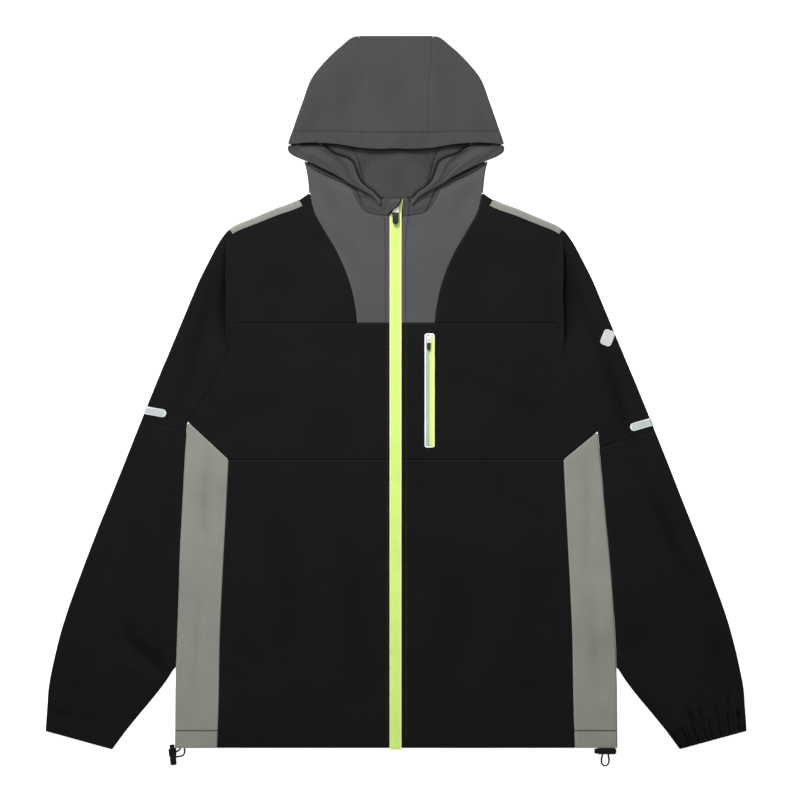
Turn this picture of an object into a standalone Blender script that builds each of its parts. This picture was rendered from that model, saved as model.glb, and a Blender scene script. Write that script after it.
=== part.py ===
"""Hooded, zip-fronted track jacket laid flat on its back.

X runs to the right as the jacket is seen from above, Y towards the hood, Z up from the
surface that it lies on. The origin is on that surface, under the middle of the garment.
Tables are in millimetres. "out" is the distance from the zip's centre line, and each row of
a curve is (y, out), so one table serves both halves unless it is given for each side.
"""

import math

import bpy
import numpy as np

MM = 0.001
LEFT, RIGHT = -1, 1
SUFFIX = {LEFT: "_l", RIGHT: "_r"}

# Cloth thickness, half the gap at a seam, and the gap between two layers.
WALL = 1.4
HOOD_WALL = 1.3
THIN = 1.0
COLLAR_WALL = 1.2
FACING_WALL = 1.1
TRIM_WALL = 0.8
SEAM = 0.17
LAP = 0.3

# Heights of the outer face above the surface.
BODY_HEIGHT = 5.0
CROWN_HEIGHT = 5.4
HOOD_SIDE_HEIGHT = 6.3
BRIM_RISE = 1.5
COLLAR_DIP = 1.5
COLLAR_DIP_REACH = 14.0

# Levels across the body.
HEM_Y = -461.5
LOWER_SEAM_Y = -87.1
CHEST_SEAM_Y = 90.0
HOOD_SEAM_Y = 300.0
CROWN_Y = 463.5
UNDERARM_Y = {LEFT: -37.7, RIGHT: -50.7}
ZIP_EDGE = 8.5
BACK_SHOULDER_DROP = 16.0

# Sampling: how many points a curve or a face is given.
FOLD_STEPS = 6
ARMHOLE_UPPER = (90.0, 108.0, 128.0, 148.0, 170.0, 190.0, 203.0, 209.5)
ARMHOLE_LOWER = (65.0, 40.0, 15.0, -8.0)
YOKE_ROWS = 9
SHOULDER_COUNT = 8
NECK_ROWS = 4
ZIP_ROWS = 5
SIDE_LEVELS = (-100.0, -140.0, -190.0, -250.0, -310.0, -370.0, -425.0)
DIAGONAL_LEVELS = (-63.0, -75.0)
HOOD_SEAM_LEVELS = (
    318.0, 328.0, 338.0, 352.0, 370.0, 388.0, 406.0, 424.0, 440.0, 450.0, 456.0,
)

# Body side fold: y, out on the left, out on the right.
BODY_SIDE = (
    (-37.7, 270.8, 261.0),
    (-50.7, 272.0, 262.0),
    (-88.4, 274.6, 265.6),
    (-114.4, 276.0, 268.2),
    (-166.4, 278.7, 272.8),
    (-218.4, 281.2, 278.0),
    (-270.4, 282.6, 282.0),
    (-322.4, 284.5, 285.2),
    (-374.0, 286.4, 286.8),
    (-461.5, 287.2, 287.8),
)

# Seam between the front (or back) and the side panel, below its slanted top.
SIDE_SEAM = (
    (-461.5, 232.3),
    (-400.0, 230.2),
    (-322.0, 228.9),
    (-270.0, 226.8),
    (-218.0, 224.2),
    (-166.0, 221.4),
    (-87.1, 217.5),
)

ARMHOLE = {
    LEFT: (
        (-37.7, 270.6), (-9.1, 250.9), (57.2, 217.8), (94.9, 207.3),
        (144.3, 200.8), (202.8, 207.3), (216.0, 208.6),
    ),
    RIGHT: (
        (-50.7, 261.8), (-7.8, 259.0), (15.6, 236.0), (46.8, 219.7), (84.5, 210.0),
        (136.5, 201.6), (180.7, 205.0), (202.8, 207.3), (216.0, 208.6),
    ),
}

# Fold over the shoulder, from the neck to the sleeve head.
SHOULDER_FOLD = ((259.0, 113.0), (249.0, 128.3), (236.6, 160.0), (226.2, 184.5), (215.7, 209.0))

STRIP_SHARES = (0.145, 0.985)
STRIP_WIDTHS = (6.5, 4.5)
STRIP_COUNT = 10
STRIP_TURN = 118.0

# Fold along the top and outside of the sleeve, from the sleeve head to the cuff.
SLEEVE_OUTER = (
    (215.7, 209.2), (210.6, 217.8), (197.6, 228.2), (171.6, 242.5), (145.6, 255.5),
    (119.6, 266.5), (67.6, 288.0), (15.6, 310.0), (-36.4, 331.0), (-88.4, 351.7),
    (-140.4, 372.4), (-192.4, 393.0), (-244.4, 412.8), (-296.4, 430.9), (-348.4, 444.6),
    (-387.4, 451.8), (-408.0, 453.2),
)

# Fold along the inside of the sleeve below the point where it leaves the body's side.
SLEEVE_INNER_FREE = (
    (-358.8, 288.4), (-374.4, 298.4), (-396.0, 315.0), (-420.0, 335.0), (-442.0, 352.9),
)
ELBOW = {LEFT: {"outer": -33.8, "inner": -52.0}, RIGHT: {"outer": -49.4, "inner": -72.0}}
# Where the rings of the lower sleeve cross its two folds: outer y, inner y.
SLEEVE_STATIONS = (
    (-92.0, -112.0), (-148.0, -170.0), (-205.0, -230.0), (-262.0, -290.0),
    (-305.0, -330.0), (-332.0, -357.0), (-350.0, -376.0), (-370.0, -398.0),
    (-390.0, -420.0), (-408.0, -442.0),
)
CUFF_OUTER = ((-408.6, 453.2), (-439.6, 455.4))
CUFF_INNER = ((-442.5, 353.2), (-463.4, 368.6))
CUFF_WAVES = 22
CUFF_WAVE_DEPTH = 0.55
# How deep the gathers are from the sleeve seam to the cuff's lower edge.
CUFF_FADE = (0.9, 1.0, 1.0, 0.6)
CUFF_FACE_COLUMNS = 30

# Reflective sleeve bar: the end on the sleeve's face, where it meets the fold, its width and
# the share of that width at each row, and the step along the fold that its direction is read at.
BAR = {
    LEFT: {"inner_end": (298.4, -27.8), "fold_y": -22.4},
    RIGHT: {"inner_end": (304.2, -46.1), "fold_y": -37.8},
}
BAR_WIDTH = 10.4
BAR_ROWS = (-0.98, -0.72, 0.0, 0.72, 0.98)
BAR_STEP = 0.0096
BAR_WALL = 0.7
# Blank patch on the right upper sleeve.
PATCH_SIZE = (15.0, 21.0)
PATCH_RADIUS = 4.5
PATCH_CENTRE = (274.6, 71.0)
PATCH_TILT = -22.0

# Yoke: outer edge from the chest seam to the neck.
YOKE_EDGE = (
    (90.0, 50.6), (106.6, 52.4), (132.6, 57.5), (158.6, 66.0), (184.6, 78.0),
    (210.6, 93.4), (236.6, 107.0), (257.0, 112.0),
)
YOKE_ZIP_END = 226.0
NECK_FOLD = ((259.4, 113.0), (275.6, 114.5), (288.6, 116.4), (299.6, 119.0))
NECK_SEAM = (
    (229.0, 8.7), (230.5, 24.0), (234.0, 38.0), (242.0, 46.5), (252.0, 52.0), (269.3, 60.5),
)
COLLAR_TOP = (
    (253.0, 8.7), (252.5, 21.0), (257.0, 30.0), (262.5, 40.0), (268.0, 49.0), (275.0, 57.0),
)
COLLAR_TOP_HEIGHT = 4.6

# Hood.
HOOD_SEAM = ((300.0, 44.0), (339.0, 43.1), (385.0, 43.1), (419.0, 45.4), (460.5, 48.0))
HOOD_OUTLINE = (
    (463.4, 48.5), (462.6, 54.0), (451.1, 70.2), (431.6, 91.0), (405.6, 111.2),
    (379.6, 120.8), (353.6, 130.0), (330.0, 137.6), (320.2, 140.4),
)

# The brim's edge droops and lifts a little along its length: out, y.
BRIM_EDGE = (
    (0.0, 316.6), (22.0, 316.0), (48.0, 317.6), (60.0, 319.5), (79.0, 322.2), (108.0, 323.6),
    (139.0, 321.0),
)
BRIM_EASE = 30.0

# Turned-out front edge of the hood: folded lower edge and inner seam.
FACING_FOLD = (
    (317.6, 140.8), (314.0, 140.2), (308.6, 134.5), (301.6, 120.0), (291.5, 97.6), (278.6, 72.6),
    (270.6, 60.3), (261.0, 42.5), (254.0, 30.5), (243.0, 21.5),
)
FACING_SEAM = (
    (325.0, 127.0), (326.0, 108.0), (319.0, 93.0), (309.0, 77.5), (303.0, 61.0),
    (297.5, 55.0), (287.0, 51.4), (275.0, 46.5), (267.5, 39.5), (260.0, 28.8), (248.0, 18.6),
)
FACING_ROWS = 11
FACING_LIFT = 5.35
FACING_THICKNESS = 2.7
FACING_TIP_THICKNESS = 4.4
FACING_SEAM_HEIGHT = 4.4
# Share of the facing's length over which its seam rises onto the collar corner.
FACING_SEAM_RISE = (0.62, 0.8)
FACING_RAMP = (117.0, 134.0)
# Second edge that shows just below the facing: out, y of its lower edge.
LIP_EDGE = ((297.0, 114.5), (288.0, 101.0), (280.0, 85.0), (273.0, 68.5), (269.5, 62.5))
LIP_DEPTH = 6.0
LIP_TOP = 4.9
# Lining of the hood's side, seen between the brim and the facing: lower and upper edges.
SIDE_LINING_LOWER = ((96.0, 316.0), (84.0, 309.0), (72.0, 303.0), (60.0, 298.0), (54.5, 295.5))
SIDE_LINING_UPPER = ((96.0, 330.0), (84.0, 330.0), (73.0, 330.0), (63.0, 330.0), (57.0, 330.0))
SIDE_LINING_TOP = 3.0
SIDE_LINING_WAVE = 0.25
# Mesh lining of the hood's back: y, half width.
BACK_LINING = (
    (253.3, 45.0), (267.0, 49.0), (285.0, 52.0), (305.0, 53.0), (325.0, 53.0), (345.0, 52.0),
)
BACK_LINING_WAVE = 0.2

# Soft troughs: x, y of both ends, half width, depth.
TROUGHS = (
    (310.0, -68.0, 365.0, -187.0, 9.0, 0.8),
    (365.0, -187.0, 409.0, -294.0, 11.0, 0.9),
    (-358.0, -322.0, -306.0, -364.0, 9.0, 0.8),
    (-372.0, -120.0, -325.0, -230.0, 13.0, 0.6),
    (-245.0, 150.0, -238.0, 60.0, 8.0, 0.7),
    (236.0, 130.0, 240.0, 45.0, 8.0, 0.7),
    (-252.0, -150.0, -258.0, -330.0, 10.0, 0.6),
    (249.0, -140.0, 262.0, -300.0, 10.0, 0.6),
    (-150.0, -40.0, -60.0, -180.0, 22.0, 0.5),
    (120.0, -220.0, 60.0, -380.0, 24.0, 0.5),
)


# ---- curves ---------------------------------------------------------------------------


def smooth(known, values, at):
    """Monotone cubic through (known, values), read at the places asked for."""
    known, values, at = (np.asarray(a, float) for a in (known, values, at))
    step = np.diff(known)
    slope = np.diff(values) / step
    tangent = np.zeros_like(values)
    tangent[0], tangent[-1] = slope[0], slope[-1]
    if len(slope) > 1:
        before, after = slope[:-1], slope[1:]
        near, far = 2 * step[1:] + step[:-1], step[1:] + 2 * step[:-1]
        turning = before * after <= 0
        safe_before = np.where(turning, 1.0, before)
        safe_after = np.where(turning, 1.0, after)
        mean = (near + far) / (near / safe_before + far / safe_after)
        tangent[1:-1] = np.where(turning, 0.0, mean)
    k = np.clip(np.searchsorted(known, at, side="right") - 1, 0, len(step) - 1)
    t = (at - known[k]) / step[k]
    return (
        (1 + 2 * t) * (1 - t) ** 2 * values[k]
        + t * (1 - t) ** 2 * step[k] * tangent[k]
        + t * t * (3 - 2 * t) * values[k + 1]
        - t * t * (1 - t) * step[k] * tangent[k + 1]
    )


def out_at(table, y):
    """Distance out at height y on a curve of (y, out) rows that runs one way in y."""
    rows = sorted(table)
    return smooth([r[0] for r in rows], [r[1] for r in rows], y)


def fractions(points):
    """Share of the length run at each point."""
    run = np.concatenate([[0], np.cumsum(np.linalg.norm(np.diff(points, axis=0), axis=1))])
    return run / run[-1]


def along(table, places):
    """Points (out, y) on a curve of (y, out) rows, at shares of its length or a count."""
    points = np.array([(out, y) for y, out in table], float)
    chord = fractions(points)
    fine = np.linspace(0, 1, 40 * len(points))
    dense = np.stack([smooth(chord, points[:, c], fine) for c in (0, 1)], axis=-1)
    shares = np.linspace(0, 1, places) if np.isscalar(places) else np.asarray(places, float)
    run = fractions(dense)
    return np.stack([np.interp(shares, run, dense[:, c]) for c in (0, 1)], axis=-1)


def at_levels(table, levels):
    levels = np.asarray(levels, float)
    return np.stack([out_at(table, levels), levels], axis=-1)


def unit(vectors):
    return vectors / np.linalg.norm(vectors, axis=-1, keepdims=True)


def outward(curve, away_from):
    """Unit normals of a plan curve, pointing away from a point inside the garment."""
    tangent = unit(np.gradient(curve, axis=0))
    normal = np.stack([tangent[:, 1], -tangent[:, 0]], axis=-1)
    side = np.sum(normal * (curve - np.asarray(away_from, float)), axis=-1)
    return normal * np.where(side < 0, -1, 1)[:, None]


def directions_at(table, shares, away_from, count):
    """Unit normals of a curve of (y, out) rows at shares of its length."""
    normal = outward(along(table, count), away_from)
    run = np.linspace(0, 1, count)
    return unit(np.stack([np.interp(shares, run, normal[:, c]) for c in (0, 1)], axis=-1))


def between(first, last, count):
    """Straight rows from each point of one curve to the matching point of the other."""
    share = np.linspace(0, 1, count)[None, :, None]
    return first[:, None, :] * (1 - share) + last[:, None, :] * share


def coons(first, last, start, end):
    """Patch inside four curves: first and last run along its rows, start and end join them."""
    u = fractions(first)[:, None, None]
    v = fractions(start)[None, :, None]
    ruled = first[:, None] * (1 - v) + last[:, None] * v
    crossed = start[None] * (1 - u) + end[None] * u
    corners = (
        first[0] * (1 - u) * (1 - v) + first[-1] * u * (1 - v)
        + last[0] * (1 - u) * v + last[-1] * u * v
    )
    return ruled + crossed - corners


def eased(share):
    share = np.clip(share, 0, 1)
    return share * share * (3 - 2 * share)


# ---- heights --------------------------------------------------------------------------


def segment_distance(x, y, x0, y0, x1, y1):
    """Distance to a straight stretch, and the share of it run at the nearest point."""
    dx, dy = x1 - x0, y1 - y0
    share = np.clip(((x - x0) * dx + (y - y0) * dy) / (dx * dx + dy * dy), 0, 1)
    return np.hypot(x - x0 - share * dx, y - y0 - share * dy), share


def body_height(x, y):
    """Outer face of the front and sleeves: nearly level, with soft waves and troughs."""
    height = BODY_HEIGHT + 0.16 * np.sin(x / 61.0 + 0.6) * np.cos(y / 83.0) + 0.12 * np.sin(y / 47.0)
    for x0, y0, x1, y1, width, depth in TROUGHS:
        far, _ = segment_distance(x, y, x0, y0, x1, y1)
        height = height - depth * np.exp(-((far / width) ** 2))
    far, _ = segment_distance(np.abs(x), y, 60.5, 269.0, 118.5, 299.0)
    return height - COLLAR_DIP * (1 - eased(far / COLLAR_DIP_REACH))


def hood_height(x, y):
    """Outer face of the hood: low at the crown, lifted at the brim and most at its middle."""
    drop = eased((CROWN_Y - y) / (CROWN_Y - 316.0))
    middle = np.clip(1 - (x / 130.0) ** 2, 0, 1)
    return CROWN_HEIGHT + drop * (HOOD_SIDE_HEIGHT - CROWN_HEIGHT + BRIM_RISE * middle)


# ---- solids ---------------------------------------------------------------------------

MATERIALS = {
    "black_cloth": ((0.028, 0.027, 0.028, 1), 0.75, 0.0),
    "dark_grey_cloth": ((0.092, 0.09, 0.094, 1), 0.75, 0.0),
    "light_grey_cloth": ((0.27, 0.27, 0.25, 1), 0.75, 0.0),
    "mesh_lining": ((0.07, 0.068, 0.072, 1), 0.85, 0.0),
    "zip_tape": ((0.66, 0.98, 0.25, 1), 0.6, 0.0),
    "reflective": ((0.6, 0.63, 0.61, 1), 0.35, 0.0),
    "white_metal": ((0.85, 0.85, 0.85, 1), 0.3, 1.0),
    "pull_rubber": ((0.08, 0.08, 0.075, 1), 0.6, 0.0),
    "black_plastic": ((0.02, 0.02, 0.021, 1), 0.45, 0.0),
    "black_cord": ((0.015, 0.015, 0.016, 1), 0.8, 0.0),
}


def material(name):
    made = bpy.data.materials.get(name)
    if made is None:
        made = bpy.data.materials.new(name)
        made.use_nodes = True
        colour, roughness, metallic = MATERIALS[name]
        surface = made.node_tree.nodes["Principled BSDF"]
        surface.inputs["Base Color"].default_value = colour
        surface.inputs["Roughness"].default_value = roughness
        surface.inputs["Metallic"].default_value = metallic
    return made


def add_mesh(name, points, faces, finish, origin=(0, 0, 0)):
    """One object, its points in millimetres, its origin where it turns or at the middle."""
    origin = np.asarray(origin, float)
    points = np.asarray(points, float) - origin
    a, b, c = (points[[f[k] for f in faces]] for k in (0, 1, 2))
    volume = np.einsum("ij,ij->i", a, np.cross(b, c)).sum()
    for k in range(3, max(len(f) for f in faces)):
        more = [f for f in faces if len(f) > k]
        a, b, c = (points[[f[j] for f in more]] for j in (0, k - 1, k))
        volume += np.einsum("ij,ij->i", a, np.cross(b, c)).sum()
    if volume < 0:
        faces = [tuple(reversed(f)) for f in faces]
    mesh = bpy.data.meshes.new(name)
    mesh.from_pydata([tuple(p * MM) for p in points], [], faces)
    mesh.shade_smooth()
    mesh.set_sharp_from_angle(angle=math.radians(35))
    mesh.materials.append(material(finish))
    made = bpy.data.objects.new(name, mesh)
    made.location = origin * MM
    bpy.context.scene.collection.objects.link(made)
    return made


def shell(name, outer, inner, finish, ring=False):
    """Closed wall between two matching grids of points; ring joins last column to first."""
    rows, columns = outer.shape[:2]
    points = np.concatenate([outer.reshape(-1, 3), inner.reshape(-1, 3)])
    away = rows * columns

    def at(i, j, layer):
        return layer * away + i * columns + j % columns

    faces = []
    for i in range(rows - 1):
        for j in range(columns if ring else columns - 1):
            for layer in (0, 1):
                quad = tuple(at(i + a, j + b, layer) for a, b in ((0, 0), (1, 0), (1, 1), (0, 1)))
                faces.append(quad[::-1] if layer else quad)
    end = rows - 1
    for j in range(columns if ring else columns - 1):
        faces.append((at(0, j, 0), at(0, j + 1, 0), at(0, j + 1, 1), at(0, j, 1)))
        faces.append((at(end, j + 1, 0), at(end, j, 0), at(end, j, 1), at(end, j + 1, 1)))
    if not ring:
        last = columns - 1
        for i in range(rows - 1):
            faces.append((at(i + 1, 0, 0), at(i, 0, 0), at(i, 0, 1), at(i + 1, 0, 1)))
            faces.append((at(i, last, 0), at(i + 1, last, 0), at(i + 1, last, 1), at(i, last, 1)))
    return add_mesh(name, points, faces, finish)


def inset(plan, gap=SEAM, first=True, last=True, start=True, end=True):
    """A plan grid drawn in from its seams: first and last row, start and end column."""
    plan = plan.copy()

    def draw_in(edge, inner):
        along_edge = unit(np.gradient(edge, axis=0))
        inwards = inner - edge
        sine = np.abs(along_edge[:, 0] * inwards[:, 1] - along_edge[:, 1] * inwards[:, 0])
        sine = np.maximum(sine / np.linalg.norm(inwards, axis=-1), 0.35)
        return edge + unit(inwards) * (gap / sine)[:, None]

    if start:
        plan[:, 0] = draw_in(plan[:, 0], plan[:, 1])
    if end:
        plan[:, -1] = draw_in(plan[:, -1], plan[:, -2])
    if first:
        plan[0] = draw_in(plan[0], plan[1])
    if last:
        plan[-1] = draw_in(plan[-1], plan[-2])
    return plan


def raised(plan, height, side=RIGHT):
    """Plan points (out, y) set on a side of the zip, at a height or a function's height."""
    x, y = side * plan[..., 0], plan[..., 1]
    z = height(x, y) if callable(height) else np.broadcast_to(height, x.shape)
    return np.stack([x, y, z], axis=-1)


def slab(name, plan, height, wall, finish, side=RIGHT):
    """Sheet with an even wall below the height given."""
    outer = raised(plan, height, side)
    return shell(name, outer, outer - (0, 0, wall), finish)


def wrap(top, fold_out, under, height, wall, side=RIGHT, base=0.0, turn=180.0, lift=0.0):
    """Outer and inner grids of cloth that runs to a fold, turns over it and runs back.

    top is a plan grid whose rows end where the fold starts, fold_out the fold's directions,
    under the plan grid that follows. lift raises the whole cloth off the form it lies on.
    """
    grids = []
    for offset in (lift + (wall if lift else 0.0), lift - (0.0 if lift else wall)):
        flat = raised(top, height, side)
        base_z = np.broadcast_to(base, flat.shape[:1]).astype(float)
        start = flat[:, -1]
        radius = (start[:, 2] - base_z) / 2
        angles = np.radians(np.linspace(0, turn, FOLD_STEPS + 1)[1:])
        reach = (radius + offset)[:, None] * np.sin(angles)[None]
        x = start[:, 0][:, None] + side * fold_out[:, 0][:, None] * reach
        y = start[:, 1][:, None] + fold_out[:, 1][:, None] * reach
        z = (base_z + radius)[:, None] + (radius + offset)[:, None] * np.cos(angles)[None]
        parts = [flat + (0, 0, offset), np.stack([x, y, z], axis=-1)]
        if under is not None:
            back = raised(under, 0.0, side)
            back[..., 2] = base_z[:, None] - offset
            parts.append(back)
        grids.append(np.concatenate(parts, axis=1))
    return grids


def fold_start(curve, directions, height, side, base=0.0):
    """Where a fold of the cloth's own height begins, inside its outline."""
    start = curve.copy()
    for _ in range(3):
        high = height(side * start[:, 0], start[:, 1])
        start = curve - directions * ((high - base) / 2)[:, None]
    return start


# ---- body -----------------------------------------------------------------------------


def side_fold(side):
    column = 1 if side == LEFT else 2
    return tuple((row[0], row[column]) for row in BODY_SIDE)


def slant(side):
    """Slanted top seam of the side panel, from the underarm to the lower chest seam."""
    return (
        (UNDERARM_Y[side], ARMHOLE[side][0][1]),
        (LOWER_SEAM_Y, SIDE_SEAM[-1][1]),
    )


def front_edge(side, y):
    """Outer edge of the front and back panels, from the hem to the armhole's top."""
    if y >= UNDERARM_Y[side]:
        return float(out_at(ARMHOLE[side], y))
    if y >= LOWER_SEAM_Y:
        return float(out_at(slant(side), y))
    return float(out_at(SIDE_SEAM, y))


def rows_to_edge(side, levels, inner, columns):
    edge = np.array([(front_edge(side, y), y) for y in levels])
    start = np.array([(inner, y) for y in levels])
    return between(start, edge, columns)


def shoulder_lines(side, count):
    """Shoulder fold, its outward directions, where it starts, and the seam behind it."""
    curve = along(SHOULDER_FOLD, count)
    directions = outward(curve, (80.0, 100.0))
    start = fold_start(curve, directions, body_height, side)
    seam = curve - directions * BACK_SHOULDER_DROP
    return curve, directions, start, seam


def make_back():
    lower = [HEM_Y, *SIDE_LEVELS[::-1], LOWER_SEAM_Y, *DIAGONAL_LEVELS[::-1]]
    rows = []
    for side in (LEFT, RIGHT):
        levels = [*lower, UNDERARM_Y[side], *ARMHOLE_LOWER[::-1], *ARMHOLE_UPPER[:-2]]
        edge = [(front_edge(side, y), y) for y in levels]
        _, _, start, seam = shoulder_lines(side, SHOULDER_COUNT)
        edge += [tuple(p) for p in seam[::-1]]
        edge.append(tuple(seam[0] + (start[0] - seam[0]) * 0.8 - (LAP, 0)))
        rows.append(np.array(edge))
    left, right = rows
    left = left * (-1, 1)
    plan = inset(between(left, right, 5), SEAM)
    outer = raised(plan, WALL)
    shell("back_panel", outer, raised(plan, 0.0), "black_cloth")


def make_fronts(side):
    tag = SUFFIX[side]
    lower = [HEM_Y, *SIDE_LEVELS[::-1], LOWER_SEAM_Y]
    plan = inset(rows_to_edge(side, lower, ZIP_EDGE, 8), SEAM, first=False)
    slab("front_lower" + tag, plan, body_height, WALL, "black_cloth", side)

    middle = [LOWER_SEAM_Y, *DIAGONAL_LEVELS[::-1], UNDERARM_Y[side]]
    middle += [*ARMHOLE_LOWER[::-1], CHEST_SEAM_Y]
    plan = inset(rows_to_edge(side, middle, ZIP_EDGE, 7), SEAM)
    slab("front_mid" + tag, plan, body_height, WALL, "black_cloth", side)

    count = SHOULDER_COUNT
    _, directions, start, seam = shoulder_lines(side, count)
    directions, start, seam = directions[::-1], start[::-1], seam[::-1]
    armhole = np.vstack([at_levels(ARMHOLE[side], ARMHOLE_UPPER), start[:1]])
    yoke = yoke_edge_points(side)
    chest = between(armhole[:1], yoke[:1], count)[0]
    plan = coons(chest, start, armhole, yoke)
    under = between(start, seam, 3)[:, 1:]
    outer, inner = wrap(plan, directions, under, body_height, WALL, side)
    draw_sides_in(outer, inner)
    shell("front_upper" + tag, outer, inner, "black_cloth")


def draw_sides_in(outer, inner, gap=SEAM, ends=True):
    """Draws the first and last rows of a wrapped cloth in by a seam's half gap."""
    for row, beside in ((0, 1), (-1, -2)):
        step = unit(outer[beside] - outer[row]) * gap
        step[:, 2] = 0
        outer[row] += step
        inner[row] += step
    if ends:
        for column, beside in ((0, 1), (-1, -2)):
            step = unit(outer[:, beside] - outer[:, column]) * gap
            step[:, 2] = 0
            outer[:, column] += step
            inner[:, column] += step


def yoke_edge_points(side):
    """Outer edge of the yoke, up to where the shoulder's fold begins."""
    points = along(YOKE_EDGE, YOKE_ROWS)
    points[-1] = shoulder_lines(side, SHOULDER_COUNT)[2][0]
    return points


def neck_fold_start(side):
    curve = along(NECK_FOLD, NECK_ROWS)
    directions = np.tile((1.0, 0.0), (NECK_ROWS, 1))
    return curve, directions, fold_start(curve, directions, body_height, side)


def neck_seam_points():
    return along(NECK_SEAM, YOKE_ROWS + NECK_ROWS - ZIP_ROWS)


def make_yoke(side):
    """Dark chest insert that runs up into the funnel neck."""
    _, _, neck = neck_fold_start(side)
    outside = np.vstack([yoke_edge_points(side), neck - (LAP, 0)])
    levels = np.linspace(CHEST_SEAM_Y, YOKE_ZIP_END, ZIP_ROWS)
    up_zip = np.stack([np.full(ZIP_ROWS, ZIP_EDGE), levels], axis=-1)
    inside = np.vstack([up_zip, neck_seam_points()])
    plan = inset(between(inside, outside, 6), SEAM)
    slab("yoke" + SUFFIX[side], plan, body_height, WALL, "dark_grey_cloth", side)


def make_collar_corner(side):
    """Soft cloth between the neck seam and the zip's top."""
    lower = neck_seam_points()
    upper = along(COLLAR_TOP, len(lower))
    plan = inset(between(lower, upper, 5), SEAM)
    outer = raised(plan, body_height, side)
    share = np.linspace(0, 1, 5)[None, :]
    outer[..., 2] = outer[..., 2] * (1 - share) + COLLAR_TOP_HEIGHT * share
    shell("collar_corner" + SUFFIX[side], outer, outer - (0, 0, COLLAR_WALL), "dark_grey_cloth")


def make_collar_back():
    """Back of the funnel neck: lies on the surface and turns up round both neck folds."""
    halves = []
    for side in (LEFT, RIGHT):
        _, directions, start = neck_fold_start(side)
        middle = np.stack([np.zeros(NECK_ROWS), start[:, 1]], axis=-1)
        under = between(start, middle, 5)[:, 1:]
        halves.append(wrap(start[:, None], directions, under, body_height, WALL, side))
    grids = [np.concatenate([l, r[:, ::-1][:, 1:]], axis=1) for l, r in zip(*halves)]
    draw_sides_in(*grids)
    shell("collar_back", grids[0], grids[1], "dark_grey_cloth")


def make_side_panel(side):
    levels = [UNDERARM_Y[side] - 6.0, *[y for y in DIAGONAL_LEVELS if y < UNDERARM_Y[side] - 9.0]]
    levels += [LOWER_SEAM_Y, *SIDE_LEVELS, HEM_Y]
    curve = at_levels(side_fold(side), levels)
    directions = np.tile((1.0, 0.0), (len(levels), 1))
    start = fold_start(curve, directions, body_height, side)
    seam = np.array([(front_edge(side, y), y) for y in levels])
    top = between(seam, start, 4)
    under = between(start, seam, 4)[:, 1:]
    outer, inner = wrap(top, directions, under, body_height, WALL, side)
    draw_sides_in(outer, inner)
    shell("side_panel" + SUFFIX[side], outer, inner, "light_grey_cloth")


def make_shoulder_strip(side):
    """Pale strip that lies on the shoulder and turns over its fold."""
    shares = np.linspace(*STRIP_SHARES, STRIP_COUNT)
    curve = along(SHOULDER_FOLD, shares)
    directions = directions_at(SHOULDER_FOLD, shares, (80.0, 100.0), 24)
    start = fold_start(curve, directions, body_height, side)
    width = np.linspace(*STRIP_WIDTHS, STRIP_COUNT)[:, None]
    top = between(start - directions * width, start, 3)
    outer, inner = wrap(
        top, directions, None, body_height, TRIM_WALL, side, turn=STRIP_TURN, lift=LAP
    )
    shell("shoulder_strip" + SUFFIX[side], outer, inner, "light_grey_cloth")


# ---- sleeves --------------------------------------------------------------------------


def sleeve_inner(side, y):
    """Fold on the inside of the sleeve: beside the body's side, then free."""
    free = SLEEVE_INNER_FREE
    if y <= free[0][0]:
        return float(out_at(free, y))
    return float(out_at(side_fold(side), y)) + 0.6


def outer_share(y):
    """Share of the sleeve's outer fold run when it reaches height y."""
    dense = along(SLEEVE_OUTER, 400)
    return float(np.interp(-y, -dense[:, 1], np.linspace(0, 1, 400)))


def make_sleeve_upper(side):
    levels = [*ARMHOLE_UPPER[::-1], *ARMHOLE_LOWER, UNDERARM_Y[side]]
    armhole = at_levels(ARMHOLE[side], levels)
    end_y = ELBOW[side]["inner"]
    for share in (0.5, 1.0):
        y = UNDERARM_Y[side] + (end_y - UNDERARM_Y[side]) * share
        armhole = np.vstack([armhole, [(sleeve_inner(side, y) + 0.4, y)]])
    shares = fractions(armhole) * outer_share(ELBOW[side]["outer"])
    curve = along(SLEEVE_OUTER, shares)
    directions = directions_at(SLEEVE_OUTER, shares, (200.0, 0.0), 60)
    directions[0] = shoulder_lines(side, SHOULDER_COUNT)[1][-1]
    start = fold_start(curve, directions, body_height, side)
    top = between(armhole, start, 6)
    under = between(start, armhole, 5)[:, 1:]
    outer, inner = wrap(top, directions, under, body_height, WALL, side)
    draw_sides_in(outer, inner)
    shell("sleeve_upper" + SUFFIX[side], outer, inner, "black_cloth")


def ring_rows(outside, inside, height, side, wall, top_count, under_count, ripple=None):
    """Rings of a flattened tube between two folds, one ring for each pair of points."""
    grids = []
    for offset in (0.0, -wall):
        rings = []
        for a, b in zip(inside, outside):
            across = unit(b - a)
            ends = []
            for point, sign in ((a, 1), (b, -1)):
                p = point.copy()
                for _ in range(3):
                    radius = height(side * p[0], p[1]) / 2
                    p = point + across * sign * radius
                ends.append((p, float(radius)))
            (pa, ra), (pb, rb) = ends
            angles = np.radians(np.linspace(0, 180, FOLD_STEPS + 1))
            share = np.linspace(0, 1, top_count)[:, None]
            flat = pa * (1 - share) + pb * share
            z = height(side * flat[:, 0], flat[:, 1]) + offset
            ring = [(*p, zz) for p, zz in zip(flat, z)]
            for angle in angles[1:]:
                p = pb + across * (rb + offset) * math.sin(angle)
                ring.append((*p, rb + (rb + offset) * math.cos(angle)))
            for s in np.linspace(1, 0, under_count)[1:]:
                ring.append((*(pa * (1 - s) + pb * s), -offset))
            for angle in angles[1:-1]:
                p = pa - across * (ra + offset) * math.sin(angle)
                ring.append((*p, ra - (ra + offset) * math.cos(angle)))
            rings.append(ring)
        grid = np.array(rings, float)
        grid[..., 0] *= side
        grids.append(grid)
    return grids


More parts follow.
